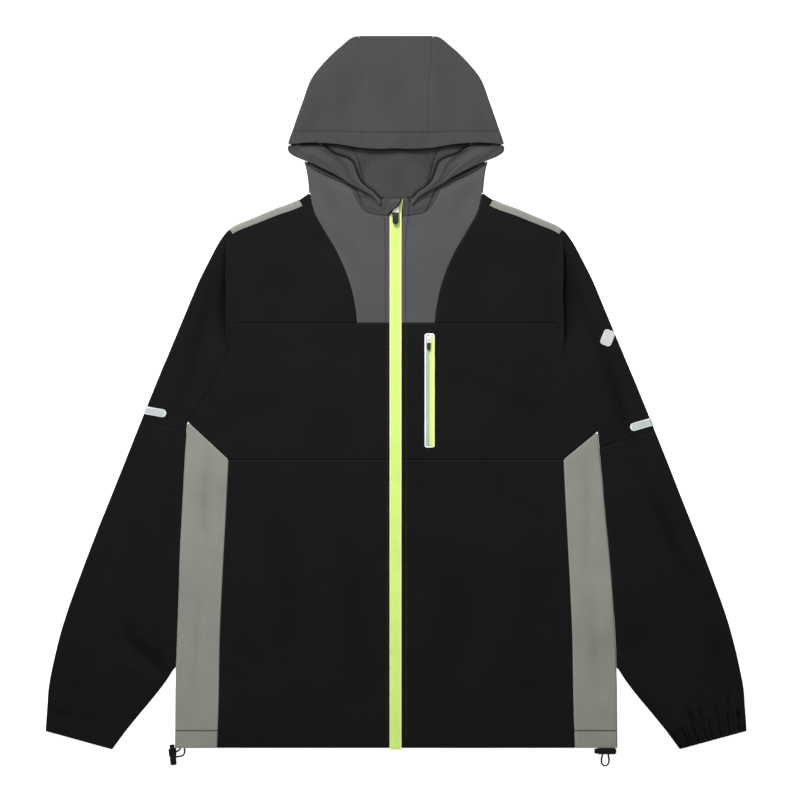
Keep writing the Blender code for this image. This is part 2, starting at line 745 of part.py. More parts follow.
def make_sleeve_lower(side):
    stations = [(ELBOW[side]["outer"], ELBOW[side]["inner"]), *SLEEVE_STATIONS]
    outside = along(SLEEVE_OUTER, [outer_share(outer) for outer, _ in stations])
    inside = np.array([(sleeve_inner(side, y), y) for _, y in stations])
    outer, inner = ring_rows(outside, inside, body_height, side, WALL, 6, 5)
    draw_sides_in(outer, inner, ends=False)
    shell("sleeve_lower" + SUFFIX[side], outer, inner, "black_cloth", ring=True)


def make_cuff(side):
    """Elastic casing: a flattened tube gathered into even waves all round."""
    outside = along(CUFF_OUTER, len(CUFF_FADE))
    inside = along(CUFF_INNER, len(CUFF_FADE))
    face = CUFF_FACE_COLUMNS
    outer, inner = ring_rows(outside, inside, body_height, side, WALL, face, face)
    columns = outer.shape[1]
    wave = 0.5 - 0.5 * np.cos(2 * np.pi * CUFF_WAVES * np.arange(columns) / columns + 0.4)
    depth = wave[None] * np.array(CUFF_FADE)[:, None] * CUFF_WAVE_DEPTH
    middle = BODY_HEIGHT / 2
    for grid in (outer, inner):
        grid[..., 2] += depth * np.clip((middle - grid[..., 2]) / middle, -1, 1)
    shell("cuff" + SUFFIX[side], outer, inner, "black_cloth", ring=True)


def make_reflect_bar(side):
    """Welded reflective bar that runs off the face of the sleeve and over its outer fold."""
    centre = np.asarray(BAR[side]["inner_end"], float)
    half_width = BAR_WIDTH / 2
    fold_share = outer_share(BAR[side]["fold_y"])
    curve = along(SLEEVE_OUTER, [fold_share])[0]
    near = along(SLEEVE_OUTER, [fold_share - BAR_STEP, fold_share + BAR_STEP])
    tangent = unit(near[0] - near[1])
    direction = outward(near, (200.0, 0.0))[0]
    rows = np.array(BAR_ROWS) * half_width
    fold = curve[None] + tangent[None] * rows[:, None]
    directions = np.tile(direction, (len(rows), 1))
    start = fold_start(fold, directions, body_height, side)
    rounding = half_width - np.sqrt(np.maximum(half_width**2 - rows**2, 0))
    inwards = unit(start.mean(axis=0) - centre)
    across = np.array([-inwards[1], inwards[0]])
    across = across * np.sign(np.dot(across, tangent))
    begin = centre[None] + across[None] * rows[:, None] + inwards[None] * rounding[:, None]
    top = between(begin, start, 5)
    outer, inner = wrap(top, directions, None, body_height, BAR_WALL, side, turn=STRIP_TURN, lift=LAP)
    shell("reflect_bar" + SUFFIX[side], outer, inner, "reflective")


def rounded_outline(width, length, radius, steps=4):
    """Plan points of a rectangle with round corners, about its own middle."""
    points = []
    corners = ((1, 1, 0), (-1, 1, 90), (-1, -1, 180), (1, -1, 270))
    for sx, sy, turn in corners:
        cx, cy = sx * (width / 2 - radius), sy * (length / 2 - radius)
        for k in range(steps + 1):
            angle = math.radians(turn + 90 * k / steps)
            points.append((cx + radius * math.cos(angle), cy + radius * math.sin(angle)))
    return np.array(points)


def plate(name, outline, centre, height, lift, thick, finish, tilt=0.0, cut=None):
    """Flat piece that follows the cloth below it; cut is an outline left open in it."""
    turn = math.radians(tilt)
    spin = np.array([[math.cos(turn), math.sin(turn)], [-math.sin(turn), math.cos(turn)]])

    def level(points, up):
        flat = points @ spin + centre
        return np.column_stack([flat, height(flat[:, 0], flat[:, 1]) + up])

    n = len(outline)
    rings = [level(outline, lift + thick), level(outline, lift)]
    if cut is not None:
        rings += [level(cut, lift), level(cut, lift + thick)]
        faces = []
        for k in range(4):
            a, b = k * n, ((k + 1) % 4) * n
            for j in range(n):
                faces.append((a + j, b + j, b + (j + 1) % n, a + (j + 1) % n))
        return add_mesh(name, np.concatenate(rings), faces, finish)
    faces = [(j, n + j, n + (j + 1) % n, (j + 1) % n) for j in range(n)]
    centres = [rings[0].mean(axis=0), rings[1].mean(axis=0)]
    points = np.concatenate([*rings, [centres[0]], [centres[1]]])
    for j in range(n):
        faces.append((2 * n, j, (j + 1) % n))
        faces.append((2 * n + 1, n + (j + 1) % n, n + j))
    return add_mesh(name, points, faces, finish)


def make_sleeve_patch():
    """Blank patch on the right upper sleeve."""
    outline = rounded_outline(*PATCH_SIZE, PATCH_RADIUS)
    plate(
        "sleeve_patch", outline, PATCH_CENTRE, body_height, LAP, BAR_WALL, "light_grey_cloth",
        tilt=PATCH_TILT,
    )


# ---- hood -----------------------------------------------------------------------------


def brim_shift(out, y):
    """How far the brim's edge is moved along Y, fading out above it."""
    edge = smooth([r[0] for r in BRIM_EDGE], [r[1] for r in BRIM_EDGE], np.clip(np.abs(out), 0, 139))
    return (edge - HOOD_SEAM_LEVELS[0]) * (1 - eased((y - HOOD_SEAM_LEVELS[0]) / BRIM_EASE))


def hood_under_seam(count):
    """Straight seam down the back of the hood, from the crown to the neck."""
    return np.linspace((48.0, HOOD_SEAM_LEVELS[-1]), (44.0, HOOD_SEAM_Y), count)


def make_hood_centre():
    count = 7
    seam_top = at_levels(HOOD_SEAM, HOOD_SEAM_LEVELS)
    start_y = CROWN_Y - CROWN_HEIGHT / 2
    seam_top = np.vstack([seam_top, [(float(out_at(HOOD_SEAM, start_y)), start_y)]])
    seam_under = hood_under_seam(4)
    share = np.linspace(-1, 1, count)[:, None]
    top, under = (
        np.stack([seam[:, 0][None] * share, np.repeat(seam[:, 1][None], count, 0)], axis=-1)
        for seam in (seam_top, seam_under)
    )
    top[..., 1] += brim_shift(top[..., 0], top[..., 1])
    directions = np.tile((0.0, 1.0), (count, 1))
    outer, inner = wrap(top, directions, under, hood_height, HOOD_WALL)
    draw_sides_in(outer, inner)
    shell("hood_centre", outer, inner, "dark_grey_cloth")


def make_hood_side(side):
    levels = list(HOOD_SEAM_LEVELS[::-1])
    seam = at_levels(HOOD_SEAM, levels)
    rows = len(levels)
    shares = np.linspace(0, 1, rows) ** 0.9
    curve = along(HOOD_OUTLINE, shares)
    directions = directions_at(HOOD_OUTLINE, shares, (20.0, 340.0), 80)
    directions[0] = (0.0, 1.0)
    start = fold_start(curve, directions, hood_height, side)
    under_seam = hood_under_seam(rows)
    top = between(seam, start, 7)
    top[..., 1] += brim_shift(top[..., 0], top[..., 1])
    under = between(start, under_seam, 6)[:, 1:]
    sag = np.linspace(0, 1, rows)[:, None] ** 2 * np.sin(np.pi * np.linspace(0, 1, 6)[None, 1:])
    under[..., 1] -= 5.0 * sag
    outer, inner = wrap(top, directions, under, hood_height, HOOD_WALL, side)
    draw_sides_in(outer, inner)
    shell("hood_side" + SUFFIX[side], outer, inner, "dark_grey_cloth")


def make_facing(side):
    """Front edge of the hood, folded out so that its inside shows."""
    fold = along(FACING_FOLD, FACING_ROWS)
    seam = along(FACING_SEAM, FACING_ROWS)
    low, high = FACING_RAMP
    share = 1 - eased((fold[:, 0] - low) / (high - low))
    base = FACING_LIFT * share
    thickness = FACING_TIP_THICKNESS + (FACING_THICKNESS - FACING_TIP_THICKNESS) * share
    directions = outward(fold, (60.0, 330.0))
    start = fold - directions * (thickness / 2)[:, None]
    columns = 5
    top = between(seam, start, columns)
    climb = eased(np.linspace(0, 1, columns) / 0.7)[None]
    crest = base + thickness
    begin, end = FACING_SEAM_RISE
    rise = eased((np.linspace(0, 1, FACING_ROWS) - begin) / (end - begin))
    seam_height = FACING_SEAM_HEIGHT * (1 - rise) + crest * rise
    heights = seam_height[:, None] * (1 - climb) + crest[:, None] * climb
    outer, inner = wrap(top, directions, None, heights, FACING_WALL, side, base=base)
    draw_sides_in(outer, inner, ends=False)
    shell("hood_facing" + SUFFIX[side], outer, inner, "dark_grey_cloth")


def make_lip(side):
    """Second edge that shows just below the folded facing."""
    lower = along(LIP_EDGE, 7)
    directions = outward(lower, (60.0, 330.0))
    upper = lower - directions * LIP_DEPTH
    plan = between(lower, upper, 3)
    slab("hood_lip" + SUFFIX[side], plan, LIP_TOP, THIN, "dark_grey_cloth", side)


def make_side_lining(side):
    """Lining of the hood's side, seen between the brim and the facing."""
    plan = between(np.array(SIDE_LINING_LOWER), np.array(SIDE_LINING_UPPER), 5)
    outer = raised(plan, SIDE_LINING_TOP, side)
    outer[..., 2] += SIDE_LINING_WAVE * np.sin(plan[..., 0] / 2.6)
    shell("side_lining" + SUFFIX[side], outer, outer - (0, 0, THIN), "mesh_lining")


def make_back_lining():
    """Mesh lining of the hood's back, seen under the brim."""
    levels, half = np.array(BACK_LINING).T
    share = np.linspace(-1, 1, 9)
    plan = np.stack([half[:, None] * share[None], np.repeat(levels[:, None], 9, 1)], axis=-1)
    outer = raised(plan, WALL + LAP + THIN)
    wave = 1 + np.cos(plan[..., 0] / 14.0) * np.sin(plan[..., 1] / 9.0)
    outer[..., 2] += BACK_LINING_WAVE * wave
    shell("hood_lining", outer, outer - (0, 0, THIN), "mesh_lining")


# ---- zips -----------------------------------------------------------------------------

ZIP_TOP_DROP = 0.4
TAPE_WALL = 1.2
# Slider and pull, each times a size. The profile is (along the zip, share of the thickness).
SLIDER_THICK = 1.5
SLIDER_HALF_WIDTH = 3.9
SLIDER_PROFILE = ((-5.4, 0.0), (5.0, 0.0), (5.6, 0.53), (5.0, 1.0), (-5.4, 1.0), (-6.0, 0.53))
BRIDGE_OUTSIDE = (3.9, 3.13)
BRIDGE_INSIDE = (2.7, 2.13)
BRIDGE_HALF_WIDTH = 1.0
BRIDGE_ROOT = 0.4
BRIDGE_STEPS = 8
PULL_THICK = 1.3
PULL_WINDOW = 4.6
PULL_PLAY = 0.35
SLIDER_PLAY = 0.4
MAIN_SLIDER = (-0.6, 239.5)
MAIN_PULL = (21.5, 7.8)
GUARD_TOP = 3.05
GUARD_HALF_WIDTH = 7.6
GUARD_ENDS = (212.0, 252.8)
# Zip tapes: y, inner edge, outer edge.
TAPE_LEFT = ((-463.5, 0.2, 8.2), (-300.0, 0.2, 8.2), (-120.0, 0.2, 8.2), (60.0, 0.2, 8.2),
             (180.0, 0.2, 8.2), (230.6, 0.2, 8.2), (234.6, 0.2, 4.0))
TAPE_RIGHT = ((-463.5, 0.2, 8.2), (-300.0, 0.2, 8.2), (-120.0, 0.2, 8.2), (60.0, 0.2, 8.2),
              (180.0, 0.2, 8.2), (232.0, 0.2, 8.2), (242.0, 3.9, 8.2), (252.4, 7.2, 8.2))


def tape_height(x, y):
    return body_height(x, y) - ZIP_TOP_DROP


def make_zip_tapes():
    for side, table in ((LEFT, TAPE_LEFT), (RIGHT, TAPE_RIGHT)):
        inner = np.array([(a, y) for y, a, _ in table])
        outer = np.array([(b, y) for y, _, b in table])
        plan = between(inner, outer, 3)
        slab("zip_tape" + SUFFIX[side], plan, tape_height, TAPE_WALL, "zip_tape", side)


def make_zip_guard():
    """Guard strip that shows behind the open top of the zip."""
    levels = np.linspace(*GUARD_ENDS, 5)
    right = np.stack([np.full(5, GUARD_HALF_WIDTH), levels], axis=-1)
    slab("zip_guard", between(right * (-1, 1), right, 4), GUARD_TOP, THIN, "dark_grey_cloth")


def cut_with(target, cutters):
    """Takes cutters out of a piece and keeps its result as a plain mesh."""
    for cutter in cutters:
        modifier = target.modifiers.new("cut", "BOOLEAN")
        modifier.operation = "DIFFERENCE"
        modifier.solver = "EXACT"
        modifier.object = cutter
        cutter.hide_render = True
        cutter.display_type = "WIRE"


def prism(name, outline, low, high, axis, finish, origin=(0, 0, 0)):
    """Solid between two copies of an outline; axis is the direction that it is drawn along."""
    n = len(outline)
    points = []
    for level in (low, high):
        for a, b in outline:
            points.append({"x": (level, a, b), "y": (a, level, b), "z": (a, b, level)}[axis])
    faces = [tuple(range(n - 1, -1, -1)), tuple(range(n, 2 * n))]
    faces += [(j, (j + 1) % n, n + (j + 1) % n, n + j) for j in range(n)]
    return add_mesh(name, points, faces, finish, origin)


def make_slider(name, x, y, z, size):
    """Slider body with the bridge that the pull hangs on, both drawn across the zip.

    x, y are the middle of the pull's pivot in plan and z the face that the slider rests on.
    """
    body_top = z + SLIDER_THICK * size
    profile = [(y + a * size, z + b * SLIDER_THICK * size) for a, b in SLIDER_PROFILE]
    half = SLIDER_HALF_WIDTH * size
    body = prism(name, profile, x - half, x + half, "x", "white_metal")
    angles = np.linspace(0, math.pi, BRIDGE_STEPS + 1)
    arch = []
    for (reach, rise), turns in zip((BRIDGE_OUTSIDE, BRIDGE_INSIDE), (angles, angles[::-1])):
        ring = [(y + reach * size * math.cos(a), body_top + rise * size * math.sin(a)) for a in turns]
        for foot in (0, -1):
            ring[foot] = (ring[foot][0], body_top - BRIDGE_ROOT * size)
        arch += ring
    half = BRIDGE_HALF_WIDTH * size
    bridge = prism(name + "_bridge", arch, x - half, x + half, "x", "white_metal")
    join = body.modifiers.new("bridge", "BOOLEAN")
    join.operation = "UNION"
    join.solver = "EXACT"
    join.object = bridge
    bridge.hide_render = True
    bridge.display_type = "WIRE"
    return body_top


def make_pull(name, x, y, z, size, length, width):
    """Pull: a bar under the bridge, two side arms round it and a tab with a round end."""
    thick = PULL_THICK * size
    half = width / 2
    gap = BRIDGE_HALF_WIDTH * size + PULL_PLAY
    arm_end = y - PULL_WINDOW * size
    tip = y - length
    bar = thick / 2
    outline = [(x - half, y + bar), (x - half, arm_end), (x - half, tip + half)]
    for k in range(1, 8):
        angle = math.pi * (1 + k / 8)
        outline.append((x + half * math.cos(angle), tip + half + half * math.sin(angle)))
    outline += [(x + half, tip + half), (x + half, arm_end), (x + half, y + bar)]
    pull = prism(name, outline, z, z + thick, "z", "pull_rubber", origin=(x, y, z + thick / 2))
    window = [(x - gap, y - bar), (x - gap, arm_end), (x + gap, arm_end), (x + gap, y - bar)]
    cut_with(pull, [prism(name + "_window", window, z - 1, z + thick + 1, "z", "pull_rubber")])


def make_main_slider():
    x, y = MAIN_SLIDER
    rest = tape_height(x, y) + SLIDER_PLAY
    top = make_slider("zip_slider", x, y, rest, 1.0)
    make_pull("zip_pull", x, y, top + LAP, 1.0, *MAIN_PULL)


# ---- chest pocket ---------------------------------------------------------------------

POCKET_CENTRE = (43.6, 2.6)
POCKET_SIZE = (13.0, 148.2)
POCKET_BORDER = 2.2
POCKET_WELT = 3.2
POCKET_TAPE_WALL = 0.6
POCKET_SLIDER = (42.6, 69.4)
POCKET_SLIDER_SIZE = 0.62
POCKET_PULL = (14.5, 4.6)


def make_pocket():
    """Welded zip pocket on the right chest: pale frame, tape inside it, small slider."""
    frame = rounded_outline(*POCKET_SIZE, 3.0, steps=3)
    wide, long = (extent - 2 * POCKET_BORDER for extent in POCKET_SIZE)
    opening = rounded_outline(wide, long, 1.2, steps=3)
    plate("pocket_frame", frame, POCKET_CENTRE, body_height, LAP, TRIM_WALL, "reflective", cut=opening)
    inside, length = wide - 2 * LAP, long - 2 * LAP
    tape = inside - POCKET_WELT - LAP
    x, y = POCKET_CENTRE
    strips = (
        ("pocket_welt", POCKET_WELT, x - inside / 2 + POCKET_WELT / 2, "reflective"),
        ("pocket_tape", tape, x + inside / 2 - tape / 2, "zip_tape"),
    )
    for name, width, centre, finish in strips:
        outline = rounded_outline(width, length, 0.8, steps=2)
        plate(name, outline, (centre, y), body_height, LAP, POCKET_TAPE_WALL, finish)
    x, y = POCKET_SLIDER
    high = max(body_height(x, y + d) for d in (-5.0, 0.0, 5.0))
    rest = high + LAP + POCKET_TAPE_WALL + LAP
    top = make_slider("pocket_slider", x, y, rest, POCKET_SLIDER_SIZE)
    make_pull("pocket_pull", x, y, top + LAP, POCKET_SLIDER_SIZE, *POCKET_PULL)


# ---- hem cord locks -------------------------------------------------------------------

LOCK_HEIGHT = 6.2
CORD_DIAMETER = 2.2
CORD_POINTS = 20
CORD_Z = 3.1
CORD_WAY = 1.4
# For each side: the lock's middle, how far it is turned, its half outline (along it, half its
# width there), and the ways cut for the cord, each from a to b along it and c to d across it.
LOCKS = {
    LEFT: {
        "centre": (-290.0, -470.6), "turn": 95.0,
        "outline": (
            (-12.9, 3.6), (-1.4, 3.8), (0.0, 4.7), (7.6, 4.7), (9.0, 2.3), (10.0, 2.3), (10.4, 2.9),
            (12.9, 2.9),
        ),
        "ways": ((-4.8, 6.4, -9.0, 3.0),),
    },
    RIGHT: {
        "centre": (272.0, -465.8), "turn": 0.0,
        "outline": ((-14.0, 2.8), (-10.4, 2.8), (-9.4, 3.7), (12.0, 3.7), (14.0, 2.4)),
        "ways": ((-5.3, -2.3, -9.0, 9.0), (2.3, 5.3, -9.0, 9.0)),
    },
}
CORD_ROUTES = {
    LEFT: (
        (-274.7, -461.9), (-274.5, -466.0), (-275.2, -469.4), (-277.4, -471.8), (-280.8, -472.7),
        (-284.2, -473.1), (-287.4, -473.0), (-289.5, -471.4), (-289.5, -469.0), (-287.6, -467.2),
        (-284.6, -466.1), (-281.6, -464.6), (-280.2, -461.9),
    ),
    RIGHT: (
        (268.2, -461.9), (268.2, -466.9), (268.1, -471.4), (266.9, -475.6), (266.8, -480.0),
        (268.6, -483.8), (271.6, -485.2), (274.6, -483.8), (276.6, -480.0), (276.7, -475.6),
        (275.8, -471.4), (275.8, -466.9), (275.8, -461.9),
    ),
}


def cord_points(side):
    route = np.array(CORD_ROUTES[side], float)
    chord = fractions(route)
    at = np.linspace(0, 1, CORD_POINTS)
    return np.stack([smooth(chord, route[:, c], at) for c in (0, 1)], axis=-1)


def make_lock(side):
    """Barrel lock with a wider middle, open inside where the cord runs."""
    spot = LOCKS[side]
    outline = [(a, -b) for a, b in spot["outline"]] + [(a, b) for a, b in spot["outline"][::-1]]
    cosine, sine = math.cos(math.radians(spot["turn"])), math.sin(math.radians(spot["turn"]))
    cx, cy = spot["centre"]

    def placed(points):
        return [(cx + a * cosine - b * sine, cy + a * sine + b * cosine) for a, b in points]

    lock = prism("cord_lock" + SUFFIX[side], placed(outline), 0.0, LOCK_HEIGHT, "z", "black_plastic")
    cutters = []
    for k, (a0, a1, b0, b1) in enumerate(spot["ways"]):
        corners = placed([(a0, b0), (a1, b0), (a1, b1), (a0, b1)])
        low, high = CORD_Z - CORD_WAY, CORD_Z + CORD_WAY
        cutters.append(prism(f"way{SUFFIX[side]}_{k}", corners, low, high, "z", "black_plastic"))
    cut_with(lock, cutters)


def make_cord(side):
    curve = bpy.data.curves.new("cord_loop" + SUFFIX[side], "CURVE")
    curve.dimensions = "3D"
    spline = curve.splines.new("POLY")
    points = cord_points(side)
    spline.points.add(len(points) - 1)
    for point, (x, y) in zip(spline.points, points):
        point.co = (x * MM, y * MM, CORD_Z * MM, 1)
    curve.bevel_depth = CORD_DIAMETER / 2 * MM
    curve.bevel_resolution = 2
    curve.use_fill_caps = True
    curve.materials.append(material("black_cord"))
    made = bpy.data.objects.new("cord_loop" + SUFFIX[side], curve)
    bpy.context.scene.collection.objects.link(made)


def main():
    for old in list(bpy.data.objects):
        bpy.data.objects.remove(old, do_unlink=True)
    make_back()
    make_collar_back()
    for side in (LEFT, RIGHT):
        make_fronts(side)
        make_yoke(side)
        make_collar_corner(side)
        make_side_panel(side)
        make_shoulder_strip(side)
        make_sleeve_upper(side)
        make_sleeve_lower(side)
        make_cuff(side)
        make_reflect_bar(side)
        make_hood_side(side)
        make_facing(side)
        make_lip(side)
        make_side_lining(side)
        make_lock(side)
        make_cord(side)
    make_hood_centre()
    make_back_lining()
    make_zip_tapes()
    make_zip_guard()
    make_main_slider()
    make_pocket()
    make_sleeve_patch()


main()
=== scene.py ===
"""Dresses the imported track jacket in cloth, stitching and zips, on the solids' own form.

The jacket lies on its back. X runs to the right as it is seen from above, Y towards the
hood and Z up. Tables are in millimetres. "out" is the distance from the zip's centre line,
and each row of a curve is (y, out), so one table serves both halves unless it is given for
each side. Creases are placed by their place in the picture: at() turns that into the jacket's
own frame.
"""

import math

import bpy
import numpy as np
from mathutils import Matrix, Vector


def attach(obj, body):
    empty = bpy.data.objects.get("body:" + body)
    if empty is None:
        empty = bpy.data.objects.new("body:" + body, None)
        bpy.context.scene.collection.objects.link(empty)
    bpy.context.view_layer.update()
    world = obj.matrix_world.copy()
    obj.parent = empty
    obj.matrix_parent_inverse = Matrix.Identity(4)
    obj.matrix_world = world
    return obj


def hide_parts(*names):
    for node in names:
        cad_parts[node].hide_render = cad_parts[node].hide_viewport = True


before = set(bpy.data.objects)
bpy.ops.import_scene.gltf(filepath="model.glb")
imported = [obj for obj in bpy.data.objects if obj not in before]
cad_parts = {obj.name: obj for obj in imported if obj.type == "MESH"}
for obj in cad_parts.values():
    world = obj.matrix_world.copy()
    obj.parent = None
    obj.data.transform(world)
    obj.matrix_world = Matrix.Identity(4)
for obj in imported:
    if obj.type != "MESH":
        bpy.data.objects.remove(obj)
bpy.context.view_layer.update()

MM = 0.001
LEFT, RIGHT = -1, 1
SUFFIX = {LEFT: "_l", RIGHT: "_r"}
ROOT = "jacket"

# Picture scale: millimetres to a pixel, and the pixel at the frame's origin.
PIXEL = 1.3
PIXEL_X, PIXEL_Y = 395.5, 392.0
PICTURE = 800

WALL = 1.4
LAP = 0.3
CLOTH = 0.7

BODY_HEIGHT = 5.0
CROWN_HEIGHT = 5.4
HOOD_SIDE_HEIGHT = 6.3
BRIM_RISE = 1.5
COLLAR_DIP = 1.5
COLLAR_DIP_REACH = 14.0

HEM_Y = -461.5
LOWER_SEAM_Y = -87.1
CHEST_SEAM_Y = 90.0
HOOD_SEAM_Y = 300.0
CROWN_Y = 463.5
UNDERARM_Y = {LEFT: -37.7, RIGHT: -50.7}
ZIP_EDGE = {LEFT: 8.5, RIGHT: 7.2}
BACK_SHOULDER_DROP = 16.0

# Body side fold: y, out on the left, out on the right.
BODY_SIDE = (
    (-37.7, 270.8, 261.0),
    (-50.7, 272.0, 262.0),
    (-88.4, 274.6, 265.6),
    (-114.4, 276.0, 268.2),
    (-166.4, 278.7, 272.8),
    (-218.4, 281.2, 278.0),
    (-270.4, 282.6, 282.0),
    (-322.4, 284.5, 285.2),
    (-374.0, 286.4, 286.8),
    (-461.5, 287.2, 287.8),
)
SIDE_SEAM = (
    (-461.5, 232.3), (-400.0, 230.2), (-322.0, 228.9), (-270.0, 226.8), (-218.0, 224.2),
    (-166.0, 221.4), (-87.1, 217.5),
)
ARMHOLE = {
    LEFT: (
        (-37.7, 270.6), (-9.1, 250.9), (57.2, 217.8), (94.9, 207.3),
        (144.3, 200.8), (202.8, 207.3), (216.0, 208.6),
    ),
    RIGHT: (
        (-50.7, 261.8), (-7.8, 259.0), (15.6, 236.0), (46.8, 219.7), (84.5, 210.0),
        (136.5, 201.6), (180.7, 205.0), (202.8, 207.3), (216.0, 208.6),
    ),
}
# How far the sleeve head's fold lies outside the armhole seam: y, distance; and each side's
# share of that distance.
TUCK_SIDE = {LEFT: 1.0, RIGHT: 0.78}
TUCK = ((-60.0, 0.0), (40.0, 0.0), (65.0, 5.0), (90.0, 12.0), (115.0, 17.0), (144.0, 20.0),
        (180.0, 16.0), (209.0, 11.0), (222.0, 9.0))
# Cross-section of that fold: distance past it, height, both times its strength in y.
TUCK_SECTION = (
    (-14.0, 0.0), (-9.0, 0.2), (-5.0, 0.55), (-2.5, 0.85), (-1.0, 1.0), (-0.2, 0.95), (0.3, 0.7),
    (0.45, 0.3), (0.2, -0.1), (-0.5, -0.5), (-1.0, -0.8), (-0.9, -1.05), (-0.2, -1.2), (1.0, -1.3),
    (3.0, -1.25), (6.0, -1.05), (10.0, -0.75), (16.0, -0.4), (24.0, -0.12), (32.0, 0.0),
)
TUCK_STRENGTH = ((-60.0, 0.4), (20.0, 0.5), (55.0, 1.2), (90.0, 2.0), (140.0, 2.4), (180.0, 2.2),
                 (210.0, 1.4), (222.0, 0.4))

SHOULDER_FOLD = ((259.0, 113.0), (249.0, 128.3), (236.6, 160.0), (226.2, 184.5), (215.7, 209.0))
STRIP_FOLD = SHOULDER_FOLD + ((211.0, 216.6),)
STRIP_SHARES = (0.137, 0.99)
STRIP_WIDTHS = (6.5, 4.5)
STRIP_TURN = 118.0
STRIP_WALL = 0.8

SLEEVE_OUTER = (
    (215.7, 209.2), (210.6, 217.8), (197.6, 228.2), (171.6, 242.5), (145.6, 255.5),
    (119.6, 266.5), (67.6, 288.0), (15.6, 310.0), (-36.4, 331.0), (-88.4, 351.7),
    (-140.4, 372.4), (-192.4, 393.0), (-244.4, 412.8), (-296.4, 430.9), (-348.4, 444.6),
    (-387.4, 451.8), (-408.0, 453.2),
)
SLEEVE_INNER_FREE = (
    (-358.8, 288.4), (-374.4, 298.4), (-396.0, 315.0), (-420.0, 335.0), (-442.0, 352.9),
)
ELBOW = {LEFT: {"outer": -33.8, "inner": -52.0}, RIGHT: {"outer": -49.4, "inner": -72.0}}
SLEEVE_STATIONS = (
    (-92.0, -112.0), (-148.0, -170.0), (-205.0, -230.0), (-262.0, -290.0),
    (-305.0, -330.0), (-332.0, -357.0), (-350.0, -376.0), (-370.0, -398.0),
    (-390.0, -420.0), (-408.0, -442.0),
)
CUFF_OUTER = ((-408.0, 453.2), (-439.6, 455.4))
CUFF_INNER = ((-442.0, 352.9), (-463.4, 368.6))
BAR = {
    LEFT: {"inner_end": (298.4, -27.8), "fold_y": -22.4},
    RIGHT: {"inner_end": (304.2, -46.1), "fold_y": -37.8},
}
BAR_WIDTH = 10.4
BAR_STEP = 0.0096
BAR_WALL = 0.7
PATCH_SIZE = (15.0, 21.0)
PATCH_RADIUS = 4.5
PATCH_CENTRE = (274.6, 71.0)
PATCH_TILT = -22.0

YOKE_EDGE = (
    (90.0, 50.6), (106.6, 52.4), (132.6, 57.5), (158.6, 66.0), (184.6, 78.0),
    (210.6, 93.4), (236.6, 107.0), (257.0, 112.0),
)
YOKE_ZIP_END = 226.0
NECK_FOLD = ((259.4, 113.0), (275.6, 114.5), (288.6, 116.4), (299.6, 119.0))
NECK_SEAM = (
    (229.0, 8.7), (230.5, 24.0), (234.0, 38.0), (242.0, 46.5), (252.0, 52.0), (269.3, 60.5),
)
COLLAR_TOP = (
    (253.0, 8.7), (252.5, 21.0), (257.0, 30.0), (262.5, 40.0), (268.0, 49.0), (275.0, 57.0),
)
COLLAR_TOP_HEIGHT = 4.6

HOOD_SEAM = ((300.0, 44.0), (339.0, 43.1), (385.0, 43.1), (419.0, 45.4), (460.5, 48.0))
HOOD_OUTLINE = (
    (463.4, 48.5), (462.6, 54.0), (451.1, 70.2), (431.6, 91.0), (405.6, 111.2),
    (379.6, 120.8), (353.6, 130.0), (330.0, 137.6), (320.2, 140.4),
)
BRIM_Y = 318.0
BRIM_TOP_Y = 456.0
BRIM_EDGE = (
    (0.0, 316.6), (22.0, 316.0), (48.0, 317.6), (60.0, 319.5), (79.0, 322.2), (108.0, 323.6),
    (139.0, 321.0),
)
BRIM_EASE = 30.0
BRIM_STITCH = 19.5
BRIM_DIP, BRIM_DIP_REACH = 1.8, 9.0

FACING_FOLD = (
    (321.8, 138.4), (318.0, 140.8), (314.0, 140.2), (308.6, 134.5), (301.6, 120.0),
    (291.5, 97.6), (278.6, 72.6), (270.6, 60.3), (261.0, 42.5), (254.0, 30.5), (243.0, 21.5),
)
FACING_SEAM = (
    (325.0, 127.0), (326.0, 108.0), (319.0, 93.0), (309.0, 77.5), (303.0, 61.0),
    (297.5, 55.0), (287.0, 51.4), (275.0, 46.5), (267.5, 39.5), (260.0, 28.8), (248.0, 18.6),
)
FACING_LIFT = 5.35
FACING_THICKNESS = 2.7
FACING_TIP_THICKNESS = 4.4
FACING_SEAM_HEIGHT = 4.4
FACING_SEAM_RISE = (0.62, 0.8)
FACING_RAMP = (117.0, 134.0)
LIP_EDGE = ((297.0, 114.5), (288.0, 101.0), (280.0, 85.0), (273.0, 68.5), (269.5, 62.5))
LIP_DEPTH = 6.0
LIP_TOP = 4.9
SIDE_LINING_LOWER = ((96.0, 316.0), (84.0, 309.0), (72.0, 303.0), (62.0, 299.0), (55.0, 292.0),
                     (51.0, 285.0), (47.0, 276.0), (42.5, 265.0))
SIDE_LINING_UPPER = ((96.0, 330.0), (84.0, 330.0), (73.0, 330.0), (64.0, 330.0), (55.0, 315.0),
                     (49.0, 298.0), (44.6, 280.0), (41.5, 265.0))
# Where the side linings overlap the mesh: y, out.
LINING_BORDER = ((253.0, 41.0), (265.0, 41.5), (280.0, 44.6), (298.0, 49.0), (315.0, 55.0),
                 (345.0, 58.0))
SIDE_LINING_TOP = 3.0
BACK_LINING = (
    (253.3, 45.0), (267.0, 49.0), (285.0, 52.0), (305.0, 53.0), (325.0, 53.0), (345.0, 52.0),
)

